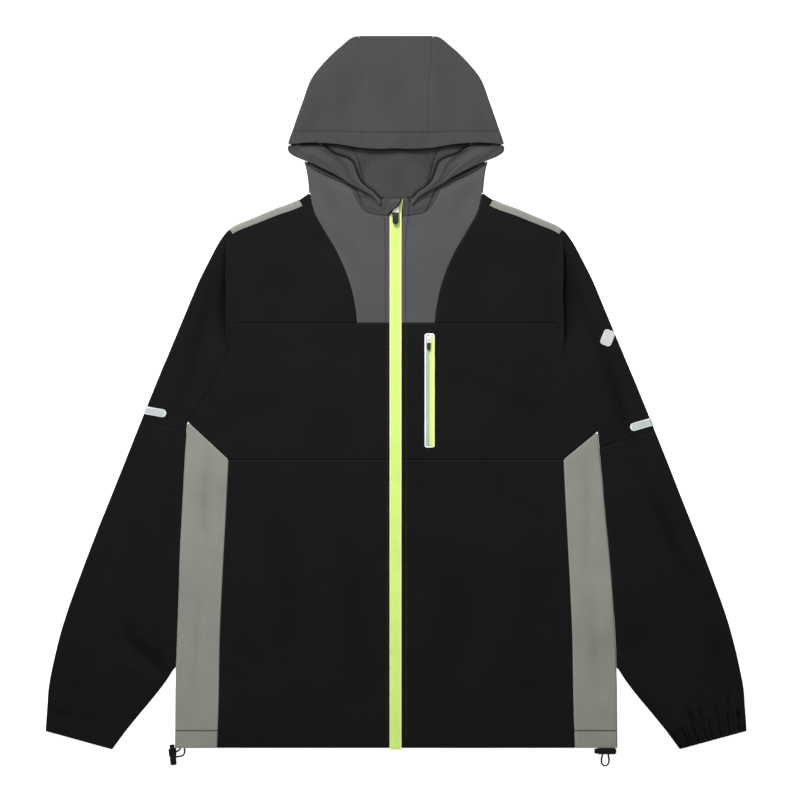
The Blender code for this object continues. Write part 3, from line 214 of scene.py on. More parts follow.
# Zips: y, inner edge, outer edge.
ZIP_TOP_DROP = 0.4
TAPE = {
    LEFT: ((-463.5, 0.0, 8.2), (-462.0, 0.0, 8.2), (180.0, 0.0, 8.2), (230.6, 0.2, 8.2),
           (234.6, 0.2, 4.0)),
    RIGHT: ((-463.5, 0.0, 7.0), (-462.0, 0.0, 7.0), (180.0, 0.0, 7.0), (232.0, 0.2, 7.0),
            (242.0, 3.9, 8.0), (252.4, 7.2, 9.0)),
}
GUARD_TOP = 3.05
GUARD_HALF_WIDTH = 7.6
GUARD_ENDS = (212.0, 252.8)
POCKET_CENTRE = (43.6, 2.6)
POCKET_SIZE = (13.0, 148.2)
POCKET_BORDER = 2.2
POCKET_WELT = 3.2
POCKET_EDGE_SIZE = (2.9, 141.0)
POCKET_EDGE_CENTRE = (48.75, 0.2)

# Points well inside each part of the garment, which tell the outer side of its edges.
BODY_INSIDE = (80.0, 100.0)
SLEEVE_INSIDE = (200.0, 0.0)
HOOD_INSIDE = (20.0, 340.0)
OPENING_INSIDE = (60.0, 330.0)

CORD_DIAMETER = 2.2
CORD_POINTS = 20
CORD_Z = 3.1
CORD_ROUTES = {
    LEFT: (
        (-274.7, -461.9), (-274.5, -466.0), (-275.2, -469.4), (-277.4, -471.8), (-280.8, -472.7),
        (-284.2, -473.1), (-287.4, -473.0), (-289.5, -471.4), (-289.5, -469.0), (-287.6, -467.2),
        (-284.6, -466.1), (-281.6, -464.6), (-280.2, -461.9),
    ),
    RIGHT: (
        (268.2, -461.9), (268.2, -466.9), (268.1, -471.4), (266.9, -475.6), (266.8, -480.0),
        (268.6, -483.8), (271.6, -485.2), (274.6, -483.8), (276.6, -480.0), (276.7, -475.6),
        (275.8, -471.4), (275.8, -466.9), (275.8, -461.9),
    ),
}

# The solids' own soft troughs: x, y of both ends, half width, depth.
TROUGHS = (
    (310.0, -68.0, 365.0, -187.0, 9.0, 0.8),
    (365.0, -187.0, 409.0, -294.0, 11.0, 0.9),
    (-358.0, -322.0, -306.0, -364.0, 9.0, 0.8),
    (-372.0, -120.0, -325.0, -230.0, 13.0, 0.6),
    (-245.0, 150.0, -238.0, 60.0, 8.0, 0.7),
    (236.0, 130.0, 240.0, 45.0, 8.0, 0.7),
    (-252.0, -150.0, -258.0, -330.0, 10.0, 0.6),
    (249.0, -140.0, 262.0, -300.0, 10.0, 0.6),
    (-150.0, -40.0, -60.0, -180.0, 22.0, 0.5),
    (120.0, -220.0, 60.0, -380.0, 24.0, 0.5),
)

# Creases, given one by one: half width and depth in millimetres (a ridge is less than 0), then
# the crease's points in the picture.
CREASES = (
    (10, -0.45, ((201.6, 507), (199, 570), (197, 646))),
    (10, -0.45, ((587, 500), (592, 560), (597, 623))),
    # left sleeve
    (9, 1.1, ((216, 262), (208, 300), (197, 340), (186, 385), (176, 412))),
    (7, -0.5, ((206, 250), (190, 300), (172, 350), (160, 392))),
    (12, 0.8, ((176, 440), (170, 500), (161, 572), (143, 606))),
    (9, 1.5, ((128, 618), (132, 640), (148, 652), (158, 660), (164, 676))),
    (8, -0.8, ((118, 660), (134, 668), (149, 676), (156, 690))),
    (7, -0.5, ((150, 470), (126, 540), (105, 600), (88, 650))),
    (6, 0.5, ((94, 640), (84, 672), (74, 700))),
    (3, 0.7, ((61, 706), (60, 714), (64, 719))),
    (3, 0.7, ((75, 709), (71, 714), (67, 718))),
    (3, 0.7, ((96, 711), (92, 715), (88, 719))),
    (5, 0.5, ((128, 700), (116, 712), (104, 722))),
    (5, -0.4, ((138, 690), (124, 706), (112, 716))),
    # right sleeve
    (8, 1.0, ((572, 262), (580, 300), (594, 340), (606, 364))),
    (9, 1.4, ((602, 352), (612, 380), (622, 412), (634, 444))),
    (9, 1.2, ((630, 460), (651, 490), (667, 529), (684, 564), (714, 610))),
    (8, -0.7, ((626, 392), (640, 430), (660, 470), (680, 520))),
    (10, 1.0, ((698, 620), (714, 640), (716, 668))),
    (8, -0.5, ((610, 506), (618, 560), (622, 600))),
    (9, 1.1, ((633, 684), (648, 704), (667, 726))),
    (3, 2.4, ((686, 708), (690, 716), (696, 724))),
    (2.5, 2.0, ((702, 706), (700, 714), (706, 721))),
    (3, -0.5, ((704, 684), (708, 692), (711, 699))),
    (2.5, 1.9, ((730, 692), (728, 701), (731, 712))),
    (2.5, 1.5, ((736, 706), (738, 714), (741, 719))),
    (2.5, 1.4, ((718, 704), (716, 711), (718, 717))),
    (3, -0.4, ((697, 700), (702, 706), (709, 710))),
    (3, 0.4, ((603, 446), (609, 444), (614, 441))),
    # chest and body
    (3, 0.5, ((232, 254), (235, 251), (239, 250))),
    (3, 0.5, ((555, 252), (558, 250), (561, 247))),
    (16, 0.5, ((260, 205), (300, 230), (345, 250))),
    (14, -0.35, ((275, 230), (320, 262), (366, 300))),
    (18, 0.5, ((470, 232), (515, 262), (545, 300))),
    (14, 0.45, ((214, 430), (240, 410), (290, 400))),
    (14, 0.45, ((580, 432), (552, 412), (505, 404))),
    (16, -0.4, ((250, 350), (300, 372), (360, 380))),
    (16, 0.4, ((440, 380), (500, 392), (556, 440))),
    (20, 0.5, ((250, 470), (275, 540), (290, 620), (284, 680))),
    (18, -0.4, ((300, 480), (318, 560), (330, 640), (352, 700))),
    (18, 0.5, ((340, 520), (352, 600), (366, 690))),
    (20, 0.5, ((430, 470), (450, 560), (460, 650), (450, 715))),
    (18, -0.4, ((480, 480), (500, 580), (505, 680))),
    (18, 0.5, ((540, 470), (530, 560), (525, 650), (545, 710))),
    (5, 0.5, ((350, 733), (357, 739), (362, 746))),
    (5, 0.5, ((362, 732), (370, 739), (377, 746))),
    (5, 0.45, ((538, 731), (545, 738), (549, 745))),
    (5, 0.5, ((549, 731), (557, 738), (564, 745))),
    (4, 0.4, ((305, 732), (308, 740), (309, 746))),
    (4, 0.4, ((462, 731), (466, 739), (468, 746))),
    (5, 0.4, ((255, 732), (262, 740), (266, 746))),
    # side panels
    (7, 0.6, ((210, 438), (204, 500), (206, 560))),
    (6, -0.35, ((216, 470), (214, 540), (212, 600))),
    (8, 0.7, ((196, 560), (199, 620), (195, 690), (198, 725))),
    (6, -0.4, ((206, 600), (204, 660), (207, 720))),
    (7, 0.6, ((583, 452), (588, 520), (586, 590))),
    (6, -0.35, ((577, 500), (580, 560), (578, 640))),
    (8, 0.7, ((596, 560), (594, 640), (598, 715))),
    # yokes
    (9, 0.5, ((318, 176), (330, 200), (348, 222))),
    (9, 0.5, ((474, 176), (462, 200), (446, 222))),
    (14, 0.45, ((345, 230), (352, 268), (362, 310))),
    (14, 0.4, ((446, 236), (438, 272), (430, 312))),
)
HOOD_CREASES = (
    (14, 0.6, ((352, 60), (344, 95), (346, 125))),
    (14, 0.6, ((440, 60), (447, 95), (445, 125))),
    (18, 0.5, ((395, 50), (393, 90), (396, 128))),
    (10, 0.5, ((322, 100), (312, 120), (304, 140))),
    (10, 0.5, ((470, 102), (480, 120), (488, 140))),
    (6, 0.5, ((377, 138), (380, 144), (382, 149))),
    (6, -0.4, ((390, 137), (391, 143), (392, 149))),
    (6, 0.5, ((402, 138), (404, 144), (406, 149))),
    (6, 0.4, ((424, 137), (422, 143), (421, 148))),
    (5, 0.4, ((358, 138), (360, 143), (361, 148))),
)
FACING_CREASES = (
    (2.2, 1.7, ((314, 147), (330, 153), (344, 165), (352, 180), (362, 190))),
    (3.0, -0.7, ((300, 148), (320, 158), (338, 172), (352, 186))),
    (1.8, 1.2, ((322, 150), (338, 162), (347, 174))),
    (2.2, 0.8, ((296, 150), (306, 158), (318, 166))),
    (1.6, 0.9, ((328, 160), (340, 170), (350, 182), (358, 190))),
)
CORNER_CREASES = (
    (1.5, 1.9, ((348, 184), (355, 190), (358, 195), (360, 200), (362, 206), (366, 212))),
    (2.5, -0.8, ((353, 184), (361, 190), (370, 195), (378, 199))),
    (1.6, 1.1, ((358, 196), (366, 198), (375, 203))),
    (2.0, -0.5, ((365, 204), (371, 207), (379, 210))),
    (1.3, 0.9, ((351, 185), (358, 191), (366, 195), (374, 198))),
)
# Creases of the hidden faces.
UNDER_CREASES = (
    (14, 0.7, ((230, 240), (280, 262), (340, 270))),
    (14, 0.6, ((560, 246), (510, 270), (440, 276))),
    (18, 0.7, ((395, 215), (398, 300), (390, 380))),
    (12, 0.6, ((250, 300), (262, 360), (240, 410))),
    (12, 0.6, ((545, 300), (532, 366), (556, 418))),
    (20, 0.7, ((270, 430), (300, 520), (296, 620), (310, 720))),
    (18, 0.6, ((360, 440), (352, 540), (372, 650), (366, 735))),
    (20, 0.7, ((470, 420), (458, 520), (476, 620), (462, 730))),
    (16, 0.6, ((532, 470), (520, 580), (536, 700))),
    (9, 0.8, ((204, 300), (186, 360), (176, 420), (160, 500))),
    (9, 0.8, ((150, 520), (130, 590), (118, 650), (96, 700))),
    (7, 0.6, ((176, 560), (160, 630), (140, 690))),
    (9, 0.8, ((590, 300), (606, 360), (622, 420), (640, 500))),
    (9, 0.8, ((650, 520), (668, 590), (684, 650), (700, 700))),
    (7, 0.6, ((618, 560), (634, 630), (654, 690))),
    (7, 0.5, ((205, 470), (201, 560), (204, 700))),
    (7, 0.5, ((586, 480), (592, 580), (588, 710))),
    (12, 0.6, ((340, 60), (350, 110), (346, 150))),
    (12, 0.6, ((450, 60), (440, 110), (446, 150))),
    (10, 0.5, ((395, 50), (390, 110), (398, 160))),
)


# ---- curves ---------------------------------------------------------------------------


def smooth(known, values, at):
    """Monotone cubic through (known, values), read at the places asked for."""
    known, values, at = (np.asarray(a, float) for a in (known, values, at))
    step = np.diff(known)
    slope = np.diff(values) / step
    tangent = np.zeros_like(values)
    tangent[0], tangent[-1] = slope[0], slope[-1]
    if len(slope) > 1:
        before, after = slope[:-1], slope[1:]
        near, far = 2 * step[1:] + step[:-1], step[1:] + 2 * step[:-1]
        turning = before * after <= 0
        safe_before = np.where(turning, 1.0, before)
        safe_after = np.where(turning, 1.0, after)
        mean = (near + far) / (near / safe_before + far / safe_after)
        tangent[1:-1] = np.where(turning, 0.0, mean)
    k = np.clip(np.searchsorted(known, at, side="right") - 1, 0, len(step) - 1)
    t = (at - known[k]) / step[k]
    return (
        (1 + 2 * t) * (1 - t) ** 2 * values[k]
        + t * (1 - t) ** 2 * step[k] * tangent[k]
        + t * t * (3 - 2 * t) * values[k + 1]
        - t * t * (1 - t) * step[k] * tangent[k + 1]
    )


def out_at(table, y):
    """A table's second value, smoothed between its rows, where the first is y."""
    rows = sorted(table)
    return smooth([r[0] for r in rows], [r[1] for r in rows], y)


def smooth_points(known, points, at):
    """Places (x, y) on the smooth curve that passes through points at the known shares."""
    return np.stack([smooth(known, points[:, c], at) for c in (0, 1)], axis=-1)


def fractions(points):
    run = np.concatenate([[0], np.cumsum(np.linalg.norm(np.diff(points, axis=0), axis=1))])
    return run / run[-1]


def resample(points, shares):
    """Points at shares of a polyline's length."""
    run = fractions(points)
    return np.stack([np.interp(shares, run, points[:, c]) for c in range(points.shape[1])], axis=-1)


def through(points, shares):
    """Points at shares of the length of a smooth curve through the points given."""
    points = np.asarray(points, float)
    chord = fractions(points)
    fine = np.linspace(0, 1, 40 * len(points))
    return resample(smooth_points(chord, points, fine), np.asarray(shares, float))


def along(table, shares):
    """Points (out, y) on a curve of (y, out) rows, at shares of its length."""
    return through([(out, y) for y, out in table], shares)


def at_levels(table, levels):
    levels = np.asarray(levels, float)
    return np.stack([out_at(table, levels), levels], axis=-1)


def unit(vectors):
    return vectors / np.maximum(np.linalg.norm(vectors, axis=-1, keepdims=True), 1e-9)


def outward(curve, away_from):
    """Unit normals of a plan curve, pointing away from a point inside the garment."""
    tangent = unit(np.gradient(curve, axis=0))
    normal = np.stack([tangent[:, 1], -tangent[:, 0]], axis=-1)
    side = np.sum(normal * (curve - np.asarray(away_from, float)), axis=-1)
    return normal * np.where(side < 0, -1, 1)[:, None]


def directions_at(table, shares, away_from, count=90):
    normal = outward(along(table, np.linspace(0, 1, count)), away_from)
    run = np.linspace(0, 1, count)
    return unit(np.stack([np.interp(shares, run, normal[:, c]) for c in (0, 1)], axis=-1))


def between(first, last, shares):
    """Straight rows from each point of one curve to the matching point of the other."""
    share = np.asarray(shares, float)[None, :, None]
    return first[:, None, :] * (1 - share) + last[:, None, :] * share


def coons(first, last, start, end):
    """Patch inside four curves: first and last run along its rows, start and end join them."""
    u = fractions(first)[:, None, None]
    v = fractions(start)[None, :, None]
    ruled = first[:, None] * (1 - v) + last[:, None] * v
    crossed = start[None] * (1 - u) + end[None] * u
    corners = (
        first[0] * (1 - u) * (1 - v) + first[-1] * u * (1 - v)
        + last[0] * (1 - u) * v + last[-1] * u * v
    )
    return ruled + crossed - corners


def eased(share):
    share = np.clip(share, 0, 1)
    return share * share * (3 - 2 * share)


NEAR_EDGE = (0.0, 0.35, 0.8, 1.4, 2.2, 3.2)


def spread(length, step, first=True, last=True):
    """Shares of a length: an even step, and closer together beside the ends that are seams."""
    head = NEAR_EDGE if first else (0.0,)
    tail = NEAR_EDGE if last else (0.0,)
    low, high = head[-1], length - tail[-1]
    middle = np.linspace(low, high, max(2, round((high - low) / step) + 1))
    return np.concatenate([head[:-1], middle, length - np.array(tail[:-1][::-1])]) / length


# ---- heights and creases --------------------------------------------------------------


def at(px, py):
    """The place in the jacket's frame of a point of the picture."""
    return (px - PIXEL_X) * PIXEL, (PIXEL_Y - py) * PIXEL


def segment_distance(x, y, x0, y0, x1, y1):
    dx, dy = x1 - x0, y1 - y0
    share = np.clip(((x - x0) * dx + (y - y0) * dy) / (dx * dx + dy * dy), 0, 1)
    return np.hypot(x - x0 - share * dx, y - y0 - share * dy), share


def line_distance(x, y, line):
    """Distance to a polyline, and the share of its length run at the nearest point."""
    run = fractions(line)
    far = np.full(np.shape(x), 1e9)
    share = np.zeros(np.shape(x))
    for k in range(len(line) - 1):
        d, s = segment_distance(x, y, *line[k], *line[k + 1])
        nearer = d < far
        far = np.where(nearer, d, far)
        share = np.where(nearer, run[k] + (run[k + 1] - run[k]) * s, share)
    return far, share


def creased(table):
    """Crease rows with their points as one smooth line in the jacket's frame."""
    return [
        (width, depth, through([at(*p) for p in points], np.linspace(0, 1, 4 * len(points))))
        for width, depth, points in table
    ]


CREASE_REACH = 2.6
PUCKER_REACH = 3.0


def near_line(line, reach, x, y):
    """Which places lie in the box of a line, widened by reach."""
    low, high = line.min(axis=0) - reach, line.max(axis=0) + reach
    return (x > low[0]) & (x < high[0]) & (y > low[1]) & (y < high[1])


def crease_depth(creases, x, y):
    """How deep the creases press the cloth in at each place; each fades at its ends."""
    total = np.zeros(np.shape(x))
    for width, depth, line in creases:
        near = near_line(line, CREASE_REACH * width, x, y)
        if not near.any():
            continue
        far, share = line_distance(x[near], y[near], line)
        fade = np.sin(np.pi * (0.06 + 0.88 * share)) ** 0.8
        total[near] += depth * np.exp(-((far / width) ** 2)) * fade
    return total


def ripple(x, y, length, seed):
    """Smooth, uneven waves about as long as length, and about 1 high."""
    draw = np.random.default_rng(seed)
    total = np.zeros(np.shape(x))
    for _ in range(7):
        turn, phase = draw.uniform(0, 2 * math.pi, 2)
        scale = 2 * math.pi / (length * draw.uniform(0.7, 1.5))
        total += np.sin((x * math.cos(turn) + y * math.sin(turn)) * scale + phase)
    return total / 2.6


# Small gathers along seams: pitch, depth, reach, then the seam's points in the picture.
PUCKERS = (
    (8.0, 0.16, 7.0, ((183, 729), (280, 731), (386, 731))),
    (8.0, 0.16, 7.0, ((405, 731), (500, 730), (608, 729))),
    (9.0, 0.12, 6.0, ((238, 323), (300, 323), (384, 323))),
    (9.0, 0.12, 6.0, ((407, 323), (480, 323), (556, 323))),
    (9.0, 0.12, 6.0, ((229, 459), (300, 459), (386, 459))),
    (9.0, 0.12, 6.0, ((405, 459), (480, 459), (561, 459))),
    (6.0, 0.14, 5.0, ((386, 330), (386, 500), (386, 740))),
    (6.0, 0.14, 5.0, ((405, 330), (405, 500), (405, 740))),
    (7.0, 0.14, 6.0, ((356, 323), (350, 292), (336, 252), (310, 200))),
    (7.0, 0.14, 6.0, ((434, 323), (440, 292), (456, 252), (482, 200))),
    (7.0, 0.18, 7.0, ((240, 250), (241, 285), (236, 323), (228, 350), (200, 399))),
    (7.0, 0.18, 7.0, ((552, 250), (551, 285), (556, 323), (563, 350), (577, 380))),
    (7.0, 0.16, 6.0, ((147, 419), (164, 425), (184, 433))),
    (7.0, 0.16, 6.0, ((603, 447), (620, 441), (652, 430))),
    (4.6, 0.8, 9.0, ((47, 707), (80, 716), (122, 731))),
    (4.6, 1.0, 9.0, ((669, 731), (706, 718), (743, 706))),
    (6.0, 0.12, 5.0, ((229, 520), (233, 560), (232, 620), (225, 658))),
    (6.0, 0.12, 5.0, ((557, 520), (560, 560), (562, 620), (570, 656))),
)


def pucker_depth(x, y):
    total = np.zeros(np.shape(x))
    for k, (pitch, depth, reach, points) in enumerate(PUCKERS):
        line = through([at(*p) for p in points], np.linspace(0, 1, 5 * len(points)))
        near = near_line(line, PUCKER_REACH * reach, x, y)
        if not near.any():
            continue
        far, share = line_distance(x[near], y[near], line)
        length = np.linalg.norm(np.diff(line, axis=0), axis=1).sum()
        run = share * length
        lean = run + 0.25 * far + 1.7 * np.sin(run / 11.0 + k) + 1.1 * np.sin(run / 5.3 + 2 * k)
        uneven = 0.6 + 0.4 * np.sin(run / 17.0 + 3 * k) * np.sin(run / 7.1)
        wave = np.maximum(0, np.cos(2 * math.pi * lean / pitch)) ** 1.5
        inside = (share > 0.004) & (share < 0.996)
        total[near] += depth * wave * uneven * np.exp(-far / reach) * inside
    return total


BODY_CREASES = creased(CREASES)
HOOD_LINES = creased(HOOD_CREASES)
FACING_LINES = creased(FACING_CREASES)
FACING_LINES += [(w, d, line * (-1, 1) + (0.6, 0)) for w, d, line in FACING_LINES]
CORNER_LINES = creased(CORNER_CREASES)
CORNER_LINES += [(w, d, line * (-1, 1)) for w, d, line in CORNER_LINES]
UNDER_LINES = creased(UNDER_CREASES)


# Broad, middling and fine waves of the cloth: height, length, seed.
BODY_WAVES = ((0.2, 110.0, 1), (0.08, 34.0, 2), (0.02, 10.0, 3))
HOOD_WAVES = ((0.15, 80.0, 4), (0.07, 30.0, 5), (0.02, 10.0, 6))


def waves_of(table, x, y):
    return sum(height * ripple(x, y, length, seed) for height, length, seed in table)


def body_relief(x, y):
    rough = waves_of(BODY_WAVES, x, y)
    return rough - crease_depth(BODY_CREASES, x, y) - pucker_depth(x, y)


def hood_relief(x, y):
    rough = waves_of(HOOD_WAVES, x, y)
    stitch = np.abs(y - (BRIM_Y + BRIM_STITCH + brim_shift(x, BRIM_Y + BRIM_STITCH)))
    band = 0.35 * np.exp(-((stitch / 1.1) ** 2)) + 0.12 * np.exp(-stitch / 5.0) * (
        1 + np.cos(x / 1.3 + 2 * np.sin(x / 9.0))
    )
    return rough - crease_depth(HOOD_LINES, x, y) - band


def facing_relief(x, y):
    """Creases of the turned-out facing, which dips where it runs under the brim."""
    dip = BRIM_DIP * (1 - eased(below_brim(x, y) / BRIM_DIP_REACH))
    dip = dip * eased((128.0 - np.abs(x)) / 8.0)
    return 0.06 * ripple(x, y, 26.0, 7) - crease_depth(FACING_LINES, x, y) - dip


def corner_relief(x, y):
    return 0.08 * ripple(x, y, 18.0, 8) - crease_depth(CORNER_LINES, x, y)


def under_relief(x, y):
    """Hidden faces: pressed in only, because the jacket rests on them."""
    waves = 0.22 * (1 + 0.7 * ripple(x, y, 90.0, 9)) + 0.06 * (1 + 0.7 * ripple(x, y, 28.0, 10))
    return -np.maximum(crease_depth(UNDER_LINES, x, y) + waves, 0)


def no_relief(x, y):
    return np.zeros(np.shape(x))


def body_height(x, y):
    swell = 0.16 * np.sin(x / 61.0 + 0.6) * np.cos(y / 83.0)
    height = BODY_HEIGHT + swell + 0.12 * np.sin(y / 47.0)
    for x0, y0, x1, y1, width, depth in TROUGHS:
        far, _ = segment_distance(x, y, x0, y0, x1, y1)
        height = height - depth * np.exp(-((far / width) ** 2))
    far, _ = segment_distance(np.abs(x), y, 60.5, 269.0, 118.5, 299.0)
    return height - COLLAR_DIP * (1 - eased(far / COLLAR_DIP_REACH))


def hood_height(x, y):
    drop = eased((CROWN_Y - y) / (CROWN_Y - 316.0))
    middle = np.clip(1 - (x / 130.0) ** 2, 0, 1)
    return CROWN_HEIGHT + drop * (HOOD_SIDE_HEIGHT - CROWN_HEIGHT + BRIM_RISE * middle)


def brim_shift(out, y):
    """How far the brim's edge is moved along Y, fading out above it."""
    edge = out_at(BRIM_EDGE, np.clip(np.abs(out), BRIM_EDGE[0][0], BRIM_EDGE[-1][0]))
    return (edge - BRIM_Y) * (1 - eased((y - BRIM_Y) / BRIM_EASE))


def below_brim(x, y):
    """How far a place lies below the brim's edge, along Y."""
    return BRIM_Y + brim_shift(x, np.full(np.shape(x), BRIM_Y)) - y


# ---- materials ------------------------------------------------------------------------


def nodes_of(name):
    made = bpy.data.materials.new(name)
    made.use_nodes = True
    tree = made.node_tree
    return made, tree, tree.nodes["Principled BSDF"]


def put(tree, kind, **inputs):
    """A node with its inputs set: a number or colour is a value, a socket is a link."""
    node = tree.nodes.new(kind)
    for key, value in inputs.items():
        if hasattr(node, key):
            setattr(node, key, value)
            continue
        socket = node.inputs[int(key[1:]) if key[1:].isdigit() else key.replace("_", " ")]
        if isinstance(value, bpy.types.NodeSocket):
            tree.links.new(value, socket)
        else:
            socket.default_value = value
    return node


def math_node(tree, operation, first, second):
    return put(tree, "ShaderNodeMath", operation=operation, i0=first, i1=second).outputs[0]


def ramp(tree, value, *stops):
    """Colour ramp of (place, grey) stops."""
    node = put(tree, "ShaderNodeValToRGB", Fac=value)
    points = node.color_ramp.elements
    while len(points) < len(stops):
        points.new(0.5)
    for point, (place, grey) in zip(points, stops):
        point.position = place
        point.color = (grey, grey, grey, 1)
    return node.outputs["Color"]


def noise(tree, place, scale, detail):
    node = put(tree, "ShaderNodeTexNoise", Vector=place, Scale=scale, Detail=detail)
    return node.outputs["Fac"]


def attribute(tree, name):
    return put(tree, "ShaderNodeAttribute", attribute_name=name).outputs["Fac"]


def object_place(tree):
    return put(tree, "ShaderNodeTexCoord").outputs["Object"]


def colour_times(tree, colour, tone, surface):
    """The base colour, a value or a link, brightened or darkened by tone."""
    mix = put(tree, "ShaderNodeVectorMath", operation="SCALE")
    if isinstance(colour, bpy.types.NodeSocket):
        tree.links.new(colour, mix.inputs[0])
    else:
        mix.inputs[0].default_value = colour
    tree.links.new(tone, mix.inputs["Scale"])
    tree.links.new(mix.outputs[0], surface.inputs["Base Color"])


def bumps(tree, surface, height, strength, distance=0.0002):
    bump = put(tree, "ShaderNodeBump", Height=height, Strength=strength, Distance=distance)
    tree.links.new(bump.outputs[0], surface.inputs["Normal"])


def mixed(tree, share, first, second):
    """Colour between two, each a colour value or a link."""
    mix = put(tree, "ShaderNodeMix")
    mix.data_type = "RGBA"
    tree.links.new(share, mix.inputs[0])
    for place, colour in ((6, first), (7, second)):
        if isinstance(colour, bpy.types.NodeSocket):
            tree.links.new(colour, mix.inputs[place])
        else:
            mix.inputs[place].default_value = (*colour, 1)
    return mix.outputs[2]


def cloth_material(name, colour, roughness=0.8, sheen=0.15, specular=0.15, pitch=0.55, weave=0.12,
                   mottle=0.05, seam_highlight=1.25, diagonal=False, grain=0.05, depth=0.14):
    """Woven cloth: threads crossing at a pitch in millimetres, uneven dye, painted shade in its
    seams and creases, and a painted highlight beside each seam.
    """
    made, tree, surface = nodes_of(name)
    place = object_place(tree)
    turned = put(tree, "ShaderNodeMapping", Vector=place)
    turned.inputs["Rotation"].default_value = (0, 0, math.radians(45 if diagonal else 3))
    scale = math.pi * 1000 / (pitch * 10)
    threads = [
        put(tree, "ShaderNodeTexWave", bands_direction=axis, Vector=turned.outputs[0], Scale=scale,
            Distortion=0.6, Detail=1.0).outputs["Fac"]
        for axis in ("X", "Y")
    ]
    woven = math_node(tree, "MAXIMUM", *threads)
    fine = noise(tree, place, 750.0, 2.0)
    hollow = attribute(tree, "hollow")
    dye = ramp(tree, noise(tree, place, 14.0, 3.0), (0.3, 1 - mottle), (0.7, 1 + mottle))
    tone = math_node(tree, "ADD", dye, -1.0)
    tone = math_node(tree, "ADD", tone, ramp(tree, fine, (0.3, 1 - grain), (0.7, 1 + grain)))
    tone = math_node(tree, "MULTIPLY", tone, ramp(tree, woven, (0.0, 1 - depth), (0.8, 1.0)))
    # Painted shade darkens the cloth right at each seam, and a paler band just beside it is a
    # painted highlight on the seam's edge.
    rim = ramp(tree, math_node(tree, "MULTIPLY", attribute(tree, "edge"), 0.1),
               (0.0, 0.45), (0.06, 0.85), (0.12, seam_highlight), (0.26, 1.0))
    tone = math_node(tree, "MULTIPLY", tone, rim)
    # Painted shade: creases and the given shade darken the colour here, and dim the gloss and sheen
    # below.
    tone = math_node(tree, "MULTIPLY", tone, ramp(tree, hollow, (0.0, 1.0), (1.0, 0.3)))
    colour_times(tree, colour, tone, surface)
    surface.inputs["Roughness"].default_value = roughness
    gloss = ramp(tree, hollow, (0.0, specular), (1.0, 0.0))
    tree.links.new(gloss, surface.inputs["Specular IOR Level"])
    if sheen:
        nap = ramp(tree, hollow, (0.0, sheen), (1.0, 0.0))
        tree.links.new(nap, surface.inputs["Sheen Weight"])
    surface.inputs["Sheen Roughness"].default_value = 0.5
    height = math_node(tree, "ADD", woven, math_node(tree, "MULTIPLY", fine, 0.6))
    bumps(tree, surface, height, weave, 0.0004)
    return made


def plain_material(name, colour, roughness, specular=0.5, scale=400.0):
    """Moulded or cast finish: fine grain, uneven gloss, and edges worn a little paler."""
    made, tree, surface = nodes_of(name)
    grain = noise(tree, object_place(tree), scale, 4.0)
    sharp = put(tree, "ShaderNodeNewGeometry").outputs["Pointiness"]
    tone = math_node(tree, "MULTIPLY", ramp(tree, grain, (0.3, 0.95), (0.7, 1.05)),
                     ramp(tree, sharp, (0.5, 1.0), (0.62, 1.25)))
    colour_times(tree, colour, tone, surface)
    gloss = ramp(tree, grain, (0.2, roughness * 0.85), (0.8, min(1.0, roughness * 1.15)))
    tree.links.new(gloss, surface.inputs["Roughness"])
    surface.inputs["Specular IOR Level"].default_value = specular
    bumps(tree, surface, grain, 0.05)
    return made


def film_material(name, rim, middle):
    """Welded film whose rim is paler than its middle; the mask that elsewhere carries painted shade
    says where the middle is.
    """
    made, tree, surface = nodes_of(name)
    grain = noise(tree, object_place(tree), 1200.0, 3.0)
    colour = mixed(tree, attribute(tree, "hollow"), rim, middle)
    colour_times(tree, colour, ramp(tree, grain, (0.3, 0.94), (0.7, 1.0)), surface)
    tree.links.new(ramp(tree, grain, (0.2, 0.3), (0.8, 0.42)), surface.inputs["Roughness"])
    bumps(tree, surface, grain, 0.05)
    return made


def pull_material(name, level):
    """Dark rubber tab below a level in y, and its white metal link above it."""
    made, tree, surface = nodes_of(name)
    place = object_place(tree)
    y = put(tree, "ShaderNodeSeparateXYZ", Vector=place).outputs["Y"]
    grain = noise(tree, place, 900.0, 3.0)
    sharp = put(tree, "ShaderNodeNewGeometry").outputs["Pointiness"]
    # Painted shade: the rubber tab darkens at its sharp edges.
    rim = ramp(tree, sharp, (0.49, 1.0), (0.56, 0.12))
    dark = math_node(tree, "MULTIPLY", ramp(tree, grain, (0.3, 0.17), (0.7, 0.2)), rim)
    link = math_node(tree, "GREATER_THAN", y, level * MM)
    tree.links.new(mixed(tree, link, dark, (0.84, 0.84, 0.84)), surface.inputs["Base Color"])
    tree.links.new(ramp(tree, grain, (0.2, 0.45), (0.8, 0.62)), surface.inputs["Roughness"])
    surface.inputs["Specular IOR Level"].default_value = 0.15
    bumps(tree, surface, grain, 0.08)
    return made


